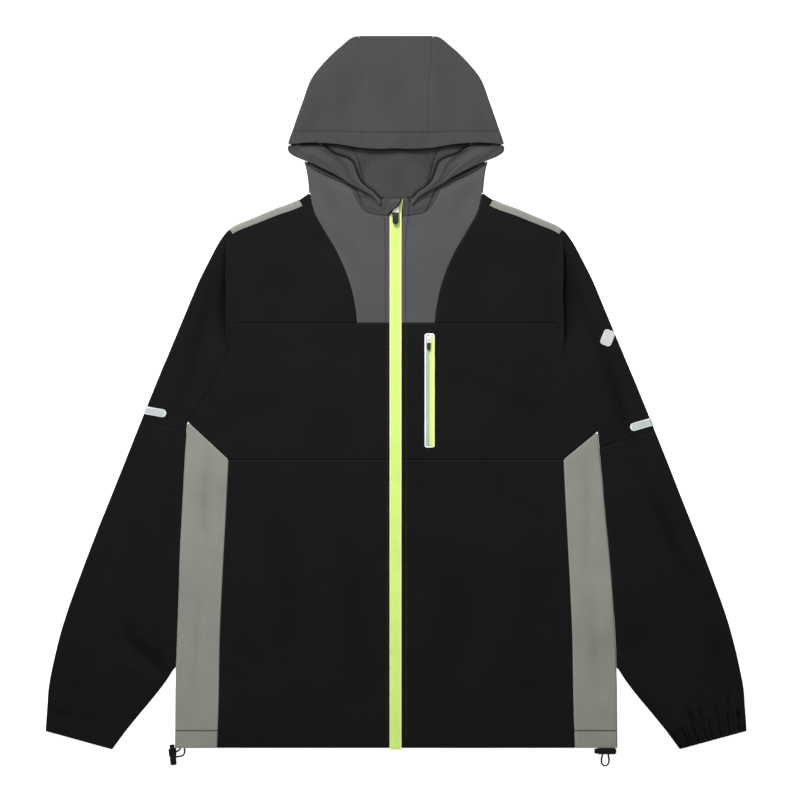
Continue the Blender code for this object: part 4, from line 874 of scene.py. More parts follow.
# Cloths: short name, material, the part's material slot, colour, and how it differs.
CLOTHS = (
    ("black", "black_woven", "black_cloth", (0.0072, 0.0068, 0.0072),
     {"seam_highlight": 1.3, "sheen": 0.03, "specular": 0.1}),
    ("grey", "dark_grey_woven", "dark_grey_cloth", (0.083, 0.081, 0.086),
     {"sheen": 0.1, "seam_highlight": 1.2}),
    # A darker copy of the dark grey cloth: the extra darkness is painted shade on the hood, the zip
    # guard and its garage.
    ("hood", "hood_woven_shaded", "dark_grey_cloth", (0.0595, 0.0578, 0.0612),
     {"sheen": 0.1, "seam_highlight": 1.2}),
    ("pale", "light_grey_woven", "light_grey_cloth", (0.281, 0.283, 0.25),
     {"sheen": 0.1, "seam_highlight": 1.1}),
    ("mesh", "mesh_knit", "mesh_lining", (0.06, 0.06, 0.0645),
     {"pitch": 2.3, "weave": 0.8, "diagonal": True, "grain": 0.2, "seam_highlight": 1.0, "depth": 0.62}),
    # A darker copy of the dark grey cloth: the extra darkness is painted shade on the facings, the
    # lips and the collar corners.
    ("facing", "facing_knit_shaded", "dark_grey_cloth", (0.055, 0.054, 0.0575),
     {"pitch": 0.7, "sheen": 0.1}),
    ("tape", "zip_tape_woven", "zip_tape", (0.68, 0.98, 0.24),
     {"pitch": 0.8, "sheen": 0.0, "seam_highlight": 1.0, "roughness": 0.6}),
    ("tape_edge", "zip_tape_edge", "zip_tape", (0.93, 0.97, 0.34),
     {"pitch": 0.6, "mottle": 0.03, "sheen": 0.0, "seam_highlight": 1.0, "roughness": 0.6}),
    ("reflective", "reflective_film", "reflective", (0.48, 0.515, 0.5),
     {"pitch": 0.45, "weave": 0.05, "sheen": 0.0, "specular": 0.5, "roughness": 0.35, "seam_highlight": 1.1}),
    ("white_film", "white_film", "reflective", (0.93, 0.93, 0.93),
     {"pitch": 0.45, "weave": 0.05, "sheen": 0.0, "specular": 0.4, "roughness": 0.45, "seam_highlight": 1.0}),
    ("patch", "patch_film", "light_grey_cloth", (0.66, 0.665, 0.65),
     {"pitch": 0.5, "sheen": 0.0, "seam_highlight": 1.0}),
    ("cord", "elastic_cord", "black_cord", (0.006, 0.006, 0.0065),
     {"pitch": 0.5, "weave": 0.4, "sheen": 0.0, "specular": 0.06}),
)
# Sewing threads: material, the slot of the cloth that they are sewn in, colour.
THREADS = (
    ("thread_dark", "black_cloth", (0.008, 0.008, 0.008)),
    ("thread_grey", "dark_grey_cloth", (0.016, 0.016, 0.0165)),
    ("thread_lime", "black_cloth", (0.045, 0.06, 0.02)),
)
# Where each pull tab's dark part ends, in y.
MAIN_PULL_LEVEL, SMALL_PULL_LEVEL = 233.6, 64.6

finish = {}


def make_materials():
    for key, name, slot, colour, traits in CLOTHS:
        finish[key] = cloth_material(name, colour, **traits)
    for name, slot, colour in THREADS:
        finish[name] = plain_material(name, colour, 0.8, specular=0.04, scale=900.0)
    finish["bar"] = film_material("bar_film", (0.9, 0.92, 0.91), (0.55, 0.6, 0.62))
    finish["metal"] = plain_material("painted_slider", (0.82, 0.82, 0.82), 0.35)
    finish["plastic"] = plain_material("lock_plastic", (0.005, 0.005, 0.0052), 0.5, specular=0.22)
    finish["main_pull"] = pull_material("main_pull", MAIN_PULL_LEVEL)
    finish["small_pull"] = pull_material("small_pull", SMALL_PULL_LEVEL)


# ---- cloth pieces ---------------------------------------------------------------------

# A seam's groove, and how little and how far the cloth is drawn down beside it.
SEAM_DEPTH = 0.85
GROOVE_WIDTH = 0.8
GROOVE_TAIL, GROOVE_REACH = 0.16, 3.5
# How deep a crease is where its painted shade is darkest.
FULL_SHADE_DEPTH = 4.5
SHARP_ANGLE = 62
FAR_FROM_SEAMS = 99.0
sizes = {}


def arc(grid, axis):
    """Distance run along a grid's rows or columns."""
    step = np.linalg.norm(np.diff(grid, axis=axis), axis=-1)
    pad = [(0, 0), (0, 0)]
    pad[axis] = (1, 0)
    return np.pad(np.cumsum(step, axis=axis), pad)


def grid_area(grid):
    a, b = grid[1:, 1:] - grid[:-1, :-1], grid[1:, :-1] - grid[:-1, 1:]
    return 0.5 * np.linalg.norm(np.cross(a, b), axis=-1).sum()


def grid_normals(grid, inner, ring):
    if ring:
        wide = np.concatenate([grid[:, -1:], grid, grid[:, :1]], axis=1)
        across = (wide[:, 2:] - wide[:, :-2]) / 2
    else:
        across = np.gradient(grid, axis=1)
    normal = unit(np.cross(np.gradient(grid, axis=0), across))
    flip = np.sign(np.sum(normal * (grid - inner), axis=-1, keepdims=True))
    return normal * np.where(flip == 0, 1, flip)


def faces_of(rows, columns, ring):
    """Faces of a wall: its two sides, then its edges."""
    across = np.arange(columns if ring else columns - 1)
    i, j = np.meshgrid(np.arange(rows - 1) * columns, across, indexing="ij")
    k = (j + 1) % columns
    top = np.stack([i + j, i + columns + j, i + columns + k, i + k], -1).reshape(-1, 4)
    away = rows * columns
    parts = [top, top[:, ::-1] + away]
    after = (across + 1) % columns
    last = (rows - 1) * columns
    edges = [(across, after), (last + after, last + across)]
    if not ring:
        first = np.arange(rows - 1) * columns
        end = first + columns - 1
        edges += [(first + columns, first), (end, end + columns)]
    for a, b in edges:
        parts.append(np.stack([a, b, b + away, a + away], -1))
    return np.concatenate(parts)


def mesh_object(name, points, faces, surface, **values):
    """Object from points in millimetres and faces of four corners, with values at its points."""
    a, b, c, d = (points[faces[:, k]] for k in range(4))
    if (a * (np.cross(b, c) + np.cross(c, d))).sum() < 0:
        faces = faces[:, ::-1]
    mesh = bpy.data.meshes.new(name)
    mesh.vertices.add(len(points))
    mesh.vertices.foreach_set("co", (points * MM).astype(np.float32).ravel())
    mesh.loops.add(faces.size)
    mesh.loops.foreach_set("vertex_index", np.ascontiguousarray(faces, dtype=np.int32).ravel())
    mesh.polygons.add(len(faces))
    mesh.polygons.foreach_set("loop_start", np.arange(0, faces.size, 4, dtype=np.int32))
    mesh.update(calc_edges=True)
    mesh.validate()
    for key, value in values.items():
        layer = mesh.attributes.new(key, "FLOAT", "POINT")
        layer.data.foreach_set("value", value.astype(np.float32).ravel())
    mesh.shade_smooth()
    mesh.set_sharp_from_angle(angle=math.radians(SHARP_ANGLE))
    mesh.materials.append(surface)
    made = bpy.data.objects.new(name, mesh)
    bpy.context.scene.collection.objects.link(made)
    return made


def wall(name, outer, inner, surface, edge, hollow, ring=False):
    """Closed wall between two grids of the same size."""
    points = np.concatenate([outer.reshape(-1, 3), inner.reshape(-1, 3)])
    return mesh_object(name, points, faces_of(*outer.shape[:2], ring), surface,
                       edge=np.tile(edge.ravel(), 2), hollow=np.tile(hollow.ravel(), 2))


def dress(node, outer, inner, surface, relief=body_relief, seams=(1, 1, 1, 1), ring=False,
          held="laid", rests_on=(), hidden=under_relief, rim=None, shade=0.0):
    """Cloth for a node: its form with creases, seams drawn down, and a thin wall."""
    normal = grid_normals(outer, inner, ring)
    x, y = outer[..., 0], outer[..., 1]
    facing = eased((normal[..., 2] + 0.25) / 0.7)
    hide = eased((-normal[..., 2] - 0.2) / 0.6)
    shown = relief(x, y) * facing
    rows, columns = arc(outer, 0), arc(outer, 1)
    far = np.full(x.shape, FAR_FROM_SEAMS)
    groove = np.zeros(x.shape)
    runs = (rows, rows[-1:] - rows, columns, columns[:, -1:] - columns)
    for depth, run in zip(seams[:2] if ring else seams, runs):
        if depth is None:
            continue
        size = SEAM_DEPTH * np.asarray(depth, float)
        drawn = np.exp(-((run / GROOVE_WIDTH) ** 2)) + GROOVE_TAIL * np.exp(-run / GROOVE_REACH)
        groove = np.maximum(groove, size * drawn)
        far = np.where(size >= SEAM_DEPTH / 2, np.minimum(far, run), far)
    push = shown + hidden(x, y) * hide - groove * (0.15 + 0.85 * eased(facing + hide))
    area = grid_area(outer)
    wide, long = columns[:, -1].max(), rows[-1].max()
    if ring:
        wide += np.linalg.norm(outer[:, 0] - outer[:, -1], axis=-1).max()
    outer = outer + normal * push[..., None]
    inner = inner + normal * push[..., None]
    for grid in (outer, inner):
        grid[..., 2] = np.maximum(grid[..., 2], 0)
    # Painted shade: darker in creases by their depth, plus the shade given; on the reflective bars
    # these values mark the film's middle instead.
    hollow = np.clip(-shown / FULL_SHADE_DEPTH + shade, 0, 1)
    if rim:
        far = np.minimum(np.minimum(rows, rows[-1:] - rows), columns)
        hollow = (far > rim).astype(float)
    made = wall(node + "_cloth", outer, inner, surface, far, hollow, ring)
    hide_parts(node)
    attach(made, ROOT)
    sizes[node] = (wide * MM, long * MM, area * MM * MM, held, rests_on)
    return made


def raised(plan, height, side=RIGHT):
    x, y = side * plan[..., 0], plan[..., 1]
    z = height(x, y) if callable(height) else np.broadcast_to(height, x.shape)
    return np.stack([x, y, z], axis=-1)


def lay(node, plan, height, surface, side=RIGHT, thick=CLOTH, **more):
    outer = raised(plan, height, side)
    return dress(node, outer, outer - (0, 0, thick), surface, **more)


FOLD_STEPS = 12


def wrap(top, fold_out, under, height, side=RIGHT, base=0.0, turn=180.0, lift=0.0, thick=CLOTH):
    """Outer and inner grids of cloth that runs to a fold, turns over it and runs back."""
    grids = []
    for offset in (lift, lift - thick):
        flat = raised(top, height, side)
        base_z = np.broadcast_to(base, flat.shape[:1]).astype(float)
        start = flat[:, -1]
        radius = (start[:, 2] - base_z) / 2
        angles = np.radians(np.linspace(0, turn, FOLD_STEPS + 1)[1:])
        reach = (radius + offset)[:, None] * np.sin(angles)[None]
        x = start[:, 0][:, None] + side * fold_out[:, 0][:, None] * reach
        y = start[:, 1][:, None] + fold_out[:, 1][:, None] * reach
        z = (base_z + radius)[:, None] + (radius + offset)[:, None] * np.cos(angles)[None]
        parts = [flat + (0, 0, offset), np.stack([x, y, z], axis=-1)]
        if under is not None:
            back = raised(under, 0.0, side)
            back[..., 2] = base_z[:, None] - offset
            parts.append(back)
        grids.append(np.concatenate(parts, axis=1))
    return grids


def fold_start(curve, directions, height, side, base=0.0):
    start = curve.copy()
    for _ in range(3):
        high = height(side * start[:, 0], start[:, 1])
        start = curve - directions * ((high - base) / 2)[:, None]
    return start


# ---- body -----------------------------------------------------------------------------

FRONT_STEP = 3.0
HEM_SEWN_Y = -439.3
SLEEVE_STEP = 2.6
HIDDEN_STEP = 6.0


def levels_between(low, high, step=FRONT_STEP, **ends):
    return low + spread(high - low, step, **ends) * (high - low)


def side_fold(side):
    column = 1 if side == LEFT else 2
    return tuple((row[0], row[column]) for row in BODY_SIDE)


def front_edge(side, y):
    """Outer edge of the front and back panels, from the hem to the armhole's top."""
    y = np.asarray(y, float)
    slant = ((UNDERARM_Y[side], ARMHOLE[side][0][1]), (LOWER_SEAM_Y, SIDE_SEAM[-1][1]))
    seam = out_at(SIDE_SEAM, np.minimum(y, LOWER_SEAM_Y))
    low = np.where(y >= LOWER_SEAM_Y, out_at(slant, y), seam)
    high = out_at(ARMHOLE[side], np.maximum(y, UNDERARM_Y[side]))
    return np.where(y >= UNDERARM_Y[side], high, low)


def rows_to_edge(side, levels, inner, step=FRONT_STEP):
    edge = np.stack([front_edge(side, levels), levels], axis=-1)
    start = np.stack([np.full(len(levels), inner), levels], axis=-1)
    return between(start, edge, spread(edge[:, 0].max() - inner, step))


def shoulder_lines(side, shares):
    curve = along(SHOULDER_FOLD, shares)
    directions = directions_at(SHOULDER_FOLD, shares, BODY_INSIDE)
    start = fold_start(curve, directions, body_height, side)
    return curve, directions, start, curve - directions * BACK_SHOULDER_DROP


def make_back():
    rows = []
    count = 18
    for side in (LEFT, RIGHT):
        levels = np.concatenate([
            levels_between(HEM_Y, UNDERARM_Y[side], HIDDEN_STEP, last=False),
            levels_between(UNDERARM_Y[side], 190.0, HIDDEN_STEP, first=False, last=False)[1:],
        ])
        edge = np.stack([front_edge(side, levels), levels], axis=-1)
        _, _, start, seam = shoulder_lines(side, np.linspace(1, 0, count))
        end = seam[-1] + (start[-1] - seam[-1]) * 0.8 - (LAP, 0)
        edge = np.vstack([edge, seam, [end]])
        rows.append(resample(edge, np.linspace(0, 1, 140)) * (side, 1))
    left, right = rows
    plan = between(left, right, spread(480.0, HIDDEN_STEP))
    outer = raised(plan, 0.0)
    dress("back_panel", outer, outer + (0, 0, CLOTH), finish["black"], seams=(0.3, 1, 1, 1))


def make_fronts(side):
    tag = SUFFIX[side]
    plan = rows_to_edge(side, levels_between(HEM_Y, LOWER_SEAM_Y), ZIP_EDGE[side])
    lay("front_lower" + tag, plan, body_height, finish["black"], side, seams=(0.3, 1, 1, 1))
    middle = np.concatenate([
        levels_between(LOWER_SEAM_Y, UNDERARM_Y[side], last=False),
        levels_between(UNDERARM_Y[side], CHEST_SEAM_Y, first=False)[1:],
    ])
    plan = rows_to_edge(side, middle, ZIP_EDGE[side])
    sewn = 1 - 0.75 * eased((middle[:, None] - UNDERARM_Y[side]) / 6.0)
    lay("front_mid" + tag, plan, body_height, finish["black"], side, seams=(1, 1, 1, sewn))

    shares = spread(160.0, FRONT_STEP)
    _, directions, start, seam = shoulder_lines(side, 1 - shares)
    up = spread(126.0, FRONT_STEP)
    armhole = at_levels(ARMHOLE[side], np.linspace(CHEST_SEAM_Y, 209.5, 60))
    armhole = resample(np.vstack([armhole, start[:1]]), up)
    yoke = yoke_edge_points(side, up)
    chest = between(armhole[:1], yoke[:1], shares)[0]
    plan = coons(chest, start, armhole, yoke)
    under = between(start, seam, np.linspace(0, 1, 4))[:, 1:]
    grids = wrap(plan, directions, under, body_height, side)
    dress("front_upper" + tag, *grids, finish["black"], seams=(0.3, 1, 1, 1))


def yoke_edge_points(side, shares):
    points = along(YOKE_EDGE, shares)
    top = shoulder_lines(side, np.array([0.0, 0.5, 1.0]))[2][0]
    pull = eased((np.asarray(shares) - 0.93) / 0.07)[:, None]
    return points + (top - points[-1]) * pull


def neck_fold_start(side, shares):
    curve = along(NECK_FOLD, shares)
    directions = np.tile((1.0, 0.0), (len(shares), 1))
    return curve, directions, fold_start(curve, directions, body_height, side)


def make_yoke(side):
    _, _, neck = neck_fold_start(side, np.linspace(0, 1, 20))
    outside = np.vstack([yoke_edge_points(side, np.linspace(0, 1, 80)), neck])
    up_zip = np.array([(ZIP_EDGE[side], CHEST_SEAM_Y), (ZIP_EDGE[side], YOKE_ZIP_END)])
    inside = np.vstack([up_zip, along(NECK_SEAM, np.linspace(0, 1, 60))])
    count = spread(215.0, 2.4)
    plan = between(resample(inside, count), resample(outside, count), spread(100.0, 2.4))
    sewn = 1 - 0.97 * eased((plan[:, -1:, 1] - 255.0) / 4.0)
    # Painted shadow on the yoke just below the facing's fold and the lip.
    covers = (along(table, np.linspace(0, 1, 40)) for table in (FACING_FOLD, LIP_EDGE))
    under_facing = np.minimum(*(line_distance(plan[..., 0], plan[..., 1], c)[0] for c in covers))
    lay("yoke" + SUFFIX[side], plan, body_height, finish["grey"], side, seams=(1, 0.1, 0.6, sewn),
        shade=0.8 * np.exp(-under_facing / 1.7))


def make_collar_corner(side):
    shares = spread(76.0, 1.4)
    plan = between(along(NECK_SEAM, shares), along(COLLAR_TOP, shares), spread(22.0, 1.1))
    outer = raised(plan, body_height, side)
    share = spread(22.0, 1.1)[None, :]
    outer[..., 2] = outer[..., 2] * (1 - share) + COLLAR_TOP_HEIGHT * share
    # The corner takes the facing's darker copy of the grey cloth, as painted shade.
    dress("collar_corner" + SUFFIX[side], outer, outer - (0, 0, CLOTH), finish["facing"],
          relief=corner_relief, seams=(0.4, 0.4, 0.9, 0.3))


def make_collar_back():
    halves = []
    shares = np.linspace(0, 1, 14)
    for side in (LEFT, RIGHT):
        _, directions, start = neck_fold_start(side, shares)
        middle = np.stack([np.zeros(len(start)), start[:, 1]], axis=-1)
        under = between(start, middle, np.linspace(0, 1, 22))[:, 1:]
        halves.append(wrap(start[:, None], directions, under, body_height, side))
    outer, inner = (np.concatenate([l, r[:, ::-1][:, 1:]], axis=1) for l, r in zip(*halves))
    dress("collar_back", outer, inner, finish["grey"], seams=(0.05, 0.05, 0.05, 0.05))


def side_relief(x, y):
    return body_relief(x, y) - 0.45 * np.exp(-(((y - HEM_SEWN_Y) / 0.9) ** 2))


def make_side_panel(side):
    levels = np.concatenate([
        levels_between(HEM_Y, HEM_SEWN_Y),
        levels_between(HEM_SEWN_Y, UNDERARM_Y[side] - 2.8, last=False)[1:],
    ])
    curve = at_levels(side_fold(side), levels)
    directions = np.tile((1.0, 0.0), (len(levels), 1))
    start = fold_start(curve, directions, body_height, side)
    seam = np.stack([front_edge(side, levels), levels], axis=-1)
    top = between(seam, start, spread(55.0, 2.6, last=False))
    under = between(start, seam, np.linspace(0, 1, 11))[:, 1:]
    grids = wrap(top, directions, under, body_height, side)
    dress("side_panel" + SUFFIX[side], *grids, finish["pale"], relief=side_relief,
          seams=(0.3, 0.3, 1, 1))


def make_shoulder_strip(side):
    shares = STRIP_SHARES[0] + spread(94.0, 2.0) * (STRIP_SHARES[1] - STRIP_SHARES[0])
    curve = along(STRIP_FOLD, shares)
    directions = directions_at(STRIP_FOLD, shares, BODY_INSIDE)
    start = fold_start(curve, directions, body_height, side)
    width = np.interp(shares, STRIP_SHARES, STRIP_WIDTHS)[:, None]
    top = between(start - directions * width, start, spread(6.5, 0.8, last=False))
    grids = wrap(top, directions, None, body_height, side, turn=STRIP_TURN,
                 lift=LAP + STRIP_WALL, thick=STRIP_WALL)
    dress("shoulder_strip" + SUFFIX[side], *grids, finish["pale"], seams=(0.2, 0.2, 0.3, 0.2),
          rests_on=["front_upper" + SUFFIX[side]])


# ---- sleeves --------------------------------------------------------------------------


SLEEVE_GAP = 0.05


def sleeve_inner(side, y):
    y = np.asarray(y, float)
    free = out_at(SLEEVE_INNER_FREE, np.minimum(y, SLEEVE_INNER_FREE[0][0]))
    beside = out_at(side_fold(side), np.maximum(y, SLEEVE_INNER_FREE[0][0])) + SLEEVE_GAP
    return np.where(y <= SLEEVE_INNER_FREE[0][0], free, beside)


def outer_share(y):
    dense = along(SLEEVE_OUTER, np.linspace(0, 1, 800))
    return np.interp(-np.asarray(y, float), -dense[:, 1], np.linspace(0, 1, 800))


def make_sleeve_upper(side):
    high = ARMHOLE[side][-1][0] - 6.5
    armhole = at_levels(ARMHOLE[side], np.linspace(high, UNDERARM_Y[side], 120))
    ys = np.linspace(UNDERARM_Y[side], ELBOW[side]["inner"], 8)[1:]
    armhole = np.vstack([armhole, np.stack([sleeve_inner(side, ys) + 0.4, ys], axis=-1)])
    rows = spread(285.0, SLEEVE_STEP)
    armhole = resample(armhole, rows)
    shares = fractions(armhole) * outer_share(ELBOW[side]["outer"])
    curve = along(SLEEVE_OUTER, shares)
    directions = directions_at(SLEEVE_OUTER, shares, SLEEVE_INSIDE)
    first = shoulder_lines(side, np.array([0.0, 0.98, 1.0]))[1][-1]
    turn = (1 - eased(rows / 0.05))[:, None]
    directions = unit(directions * (1 - turn) + first * turn)
    start = fold_start(curve, directions, body_height, side)
    width = np.linalg.norm(start - armhole, axis=-1)

    section = np.array(TUCK_SECTION)
    chord = fractions(section * (1, 4))
    offset, height = smooth_points(chord, section, np.linspace(0, 1, 46)).T
    places, heights = [], []
    for a, b, w in zip(armhole, start, width):
        share = np.linspace(0, 1, 300)
        line = a + (b - a) * share[:, None]
        level = np.clip(line[:, 1], -60, 222)
        past = line[:, 0] - out_at(ARMHOLE[side], np.clip(level, UNDERARM_Y[side], 216))
        past -= TUCK_SIDE[side] * out_at(TUCK, level)
        k = int(np.argmax(past >= 0))
        d = share[k] * w
        s = float(out_at(TUCK_STRENGTH, level[k]) * eased(d / 5.0) * eased((w - d - 3.0) / 15.0))
        scale = min(1.0, w / 45.0, max(0.2, 0.8 * (w - d) / 32.0))
        small = np.where(np.abs(offset) < 1, offset * min(1.0, s), offset * scale)
        near = np.where((offset < 0) & (height >= 0), d * (1 + offset / 14.0), d + small)
        near = near + 0.015 * np.arange(len(near)) * (d < 1.0)
        fit = min(1.0, 0.9 * (w - d) / max(near[-1] - d, 1e-6))
        near = np.where(near > d, d + (near - d) * fit, near)
        tail = np.linspace(near[-1], w, 34)[1:]
        places.append(np.concatenate([near, tail]) / w)
        heights.append(np.concatenate([height * s, np.zeros(33)]))
    places, heights = np.array(places), np.array(heights)
    top = armhole[:, None] * (1 - places[..., None]) + start[:, None] * places[..., None]
    under = between(start, armhole, np.linspace(0, 1, 20))[:, 1:]
    grids = wrap(top, directions, under, body_height, side)
    for grid in grids:
        grid[:, :heights.shape[1], 2] += heights
    # Painted shade beside the sleeve head's fold, deepest where the fold tucks under.
    shade = np.zeros(grids[0].shape[:2])
    shade[:, :heights.shape[1]] = 0.17 * np.maximum(-heights, 0) ** 1.4
    head = 0.85 - 0.55 * eased((armhole[:, 1:] - 45.0) / 30.0)
    dress("sleeve_upper" + SUFFIX[side], *grids, finish["black"], seams=(0.2, 0.6, head, 0.6),
          shade=shade)


def ring_rows(outside, inside, height, side, top_count, under_count):
    """Rings of a flattened tube between two folds, one ring for each pair of points."""
    grids = []
    for offset in (0.0, -CLOTH):
        rings = []
        for a, b in zip(inside, outside):
            across = unit(b - a)
            ends = []
            for point, sign in ((a, 1), (b, -1)):
                p = point.copy()
                for _ in range(3):
                    radius = height(side * p[0], p[1]) / 2
                    p = point + across * sign * radius
                ends.append((p, float(radius)))
            (pa, ra), (pb, rb) = ends
            angles = np.radians(np.linspace(0, 180, FOLD_STEPS + 1))[:, None]
            share = np.linspace(0, 1, top_count)[:, None]
            flat = pa * (1 - share) + pb * share
            z = height(side * flat[:, 0], flat[:, 1]) + offset
            back = pa + (pb - pa) * np.linspace(1, 0, under_count)[1:, None]
            far = pb + across * (rb + offset) * np.sin(angles[1:])
            near = pa - across * (ra + offset) * np.sin(angles[1:-1])
            rings.append(np.vstack([
                np.column_stack([flat, z]),
                np.column_stack([far, rb + (rb + offset) * np.cos(angles[1:])]),
                np.column_stack([back, np.full(len(back), -offset)]),
                np.column_stack([near, ra - (ra + offset) * np.cos(angles[1:-1])]),
            ]))
        grid = np.array(rings, float)
        grid[..., 0] *= side
        grids.append(grid)
    return grids


def make_sleeve_lower(side):
    stations = np.array([(ELBOW[side]["outer"], ELBOW[side]["inner"]), *SLEEVE_STATIONS])
    run = (stations[0, 0] - stations[:, 0]) / (stations[0, 0] - stations[-1, 0])
    rows = spread(400.0, SLEEVE_STEP)
    outs, ins = (smooth(run, stations[:, c], rows) for c in (0, 1))
    outside = along(SLEEVE_OUTER, outer_share(outs))
    inside = np.stack([sleeve_inner(side, ins), ins], axis=-1)
    grids = ring_rows(outside, inside, body_height, side, 46, 22)
    dress("sleeve_lower" + SUFFIX[side], *grids, finish["black"], seams=(0.6, 0.25),
          ring=True)


# Gathers of an elastic cuff: waves round it, depth, lean along it.
CUFF_WAVES = ((25.0, 0.6, 0.9), (37.0, 0.36, -0.8), (14.0, 0.4, 0.5), (61.0, 0.14, 1.1))
CUFF_SIDE = {LEFT: 0.6, RIGHT: 1.7}
CASING_SHARE = 0.82


def make_cuff(side):
    rows = spread(34.0, 1.1)
    grids = ring_rows(along(CUFF_OUTER, rows), along(CUFF_INNER, rows), body_height, side, 150, 90)
    columns = grids[0].shape[1]
    angle = 2 * np.pi * np.arange(columns)[None] / columns
    gathers = np.zeros(grids[0].shape[:2])
    for waves, depth, lean in CUFF_WAVES:
        wander = 0.7 * np.sin(3 * angle + waves) + lean * rows[:, None] * 2
        gathers += depth * (0.5 - 0.5 * np.cos(waves * angle + wander + side))
    fade = 0.25 + 0.75 * eased(rows / 0.25)[:, None]
    casing = 0.45 * np.exp(-(((rows[:, None] - CASING_SHARE) * 34 / 0.9) ** 2))
    depth = gathers * fade * CUFF_SIDE[side] + casing
    middle = BODY_HEIGHT / 2
    for grid in grids:
        grid[..., 2] += depth * np.clip((middle - grid[..., 2]) / middle, -1, 0.4)
    # Painted shade in the deepest gathers.
    dress("cuff" + SUFFIX[side], *grids, finish["black"], seams=(0.2, 0.2), ring=True,
          held="gathered", shade=0.42 * np.maximum(depth - 0.8, 0))


BAR_ROWS = np.linspace(-0.99, 0.99, 25)
BAR_RIM = 1.3


def make_reflect_bar(side):
    centre = np.asarray(BAR[side]["inner_end"], float)
    half_width = BAR_WIDTH / 2
    share = float(outer_share(BAR[side]["fold_y"]))
    near = along(SLEEVE_OUTER, [share - BAR_STEP, share, share + BAR_STEP])
    tangent = unit(near[0] - near[2])
    direction = outward(near[[0, 2]], SLEEVE_INSIDE)[0]
    rows = BAR_ROWS * half_width
    fold = near[1][None] + tangent[None] * rows[:, None]
    directions = np.tile(direction, (len(rows), 1))
    start = fold_start(fold, directions, body_height, side)
    rounding = half_width - np.sqrt(np.maximum(half_width**2 - rows**2, 0))
    inwards = unit(start.mean(axis=0) - centre)
    across = np.array([-inwards[1], inwards[0]])
    across = across * np.sign(np.dot(across, tangent))
    begin = centre[None] + across[None] * rows[:, None] + inwards[None] * rounding[:, None]
    top = between(begin, start, np.linspace(0, 1, 26))
    grids = wrap(top, directions, None, body_height, side, turn=STRIP_TURN,
                 lift=LAP + BAR_WALL, thick=BAR_WALL)
    dress("reflect_bar" + SUFFIX[side], *grids, finish["bar"], seams=(0.15, 0.15, 0.15, 0.15),
          rests_on=["sleeve_upper" + SUFFIX[side]], rim=BAR_RIM)


def rounded_outline(width, length, radius, steps=5, along_side=40):
    """Closed plan outline of a rectangle with round corners, with points along its long sides."""
    points = []
    for sx, sy, turn in ((1, 1, 0), (-1, 1, 90), (-1, -1, 180), (1, -1, 270)):
        cx, cy = sx * (width / 2 - radius), sy * (length / 2 - radius)
        for k in range(steps + 1):
            angle = math.radians(turn + 90 * k / steps)
            points.append((cx + radius * math.cos(angle), cy + radius * math.sin(angle)))
        if turn in (90, 270):
            last = np.array(points[-1])
            for k in range(1, along_side):
                points.append((last[0], last[1] * (1 - 2 * k / along_side)))
    return np.array(points)


def rounded_plan(width, length, radius, wide, long):
    """Plan grid inside a rectangle with round corners."""
    y = spread(length, long) * length - length / 2
    inside = np.maximum(np.abs(y) - (length / 2 - radius), 0)
    half = width / 2 - radius + np.sqrt(np.maximum(radius**2 - inside**2, 0))
    share = np.linspace(-1, 1, wide)
    return np.stack([half[:, None] * share[None], np.repeat(y[:, None], wide, 1)], axis=-1)


def placed(plan, centre, tilt=0.0):
    turn = math.radians(tilt)
    spin = np.array([[math.cos(turn), math.sin(turn)], [-math.sin(turn), math.cos(turn)]])
    return plan @ spin + centre


def make_sleeve_patch():
    plan = placed(rounded_plan(*PATCH_SIZE, PATCH_RADIUS, 24, 0.9), PATCH_CENTRE, PATCH_TILT)
    outer = raised(plan, body_height) + (0, 0, LAP + BAR_WALL)
    dress("sleeve_patch", outer, outer - (0, 0, BAR_WALL), finish["patch"], seams=(0.1,) * 4,
          rests_on=["sleeve_upper_r"])


# ---- hood -----------------------------------------------------------------------------

HOOD_STEP = 2.3
HOOD_THICK = 1.2


def hood_levels():
    """Levels up the hood's seam, with rows for the brim's edge and its stitched line."""
    stitch = BRIM_Y + BRIM_STITCH
    low = levels_between(BRIM_Y, stitch, HOOD_STEP)
    return np.concatenate([low, levels_between(stitch, CROWN_Y - CROWN_HEIGHT / 2, HOOD_STEP)[1:]])


def hood_under_seam(shares):
    shares = np.asarray(shares, float)[:, None]
    return np.array((48.0, BRIM_TOP_Y)) * (1 - shares) + np.array((44.0, HOOD_SEAM_Y)) * shares


def make_hood_centre():
    levels = hood_levels()
    seam_top = at_levels(HOOD_SEAM, np.minimum(levels, 460.5))
    seam_top[:, 1] = levels
    seam_under = hood_under_seam(np.linspace(0, 1, 28))
    share = (2 * spread(90.0, HOOD_STEP) - 1)[:, None]
    top, under = (
        np.stack([seam[:, 0][None] * share, np.repeat(seam[:, 1][None], len(share), 0)], axis=-1)
        for seam in (seam_top, seam_under)
    )
    top[..., 1] += brim_shift(top[..., 0], top[..., 1])
    directions = np.tile((0.0, 1.0), (len(share), 1))
    grids = wrap(top, directions, under, hood_height, thick=HOOD_THICK)
    dress("hood_centre", *grids, finish["hood"], relief=hood_relief, seams=(0.45, 0.45, 0.3, 0.5))


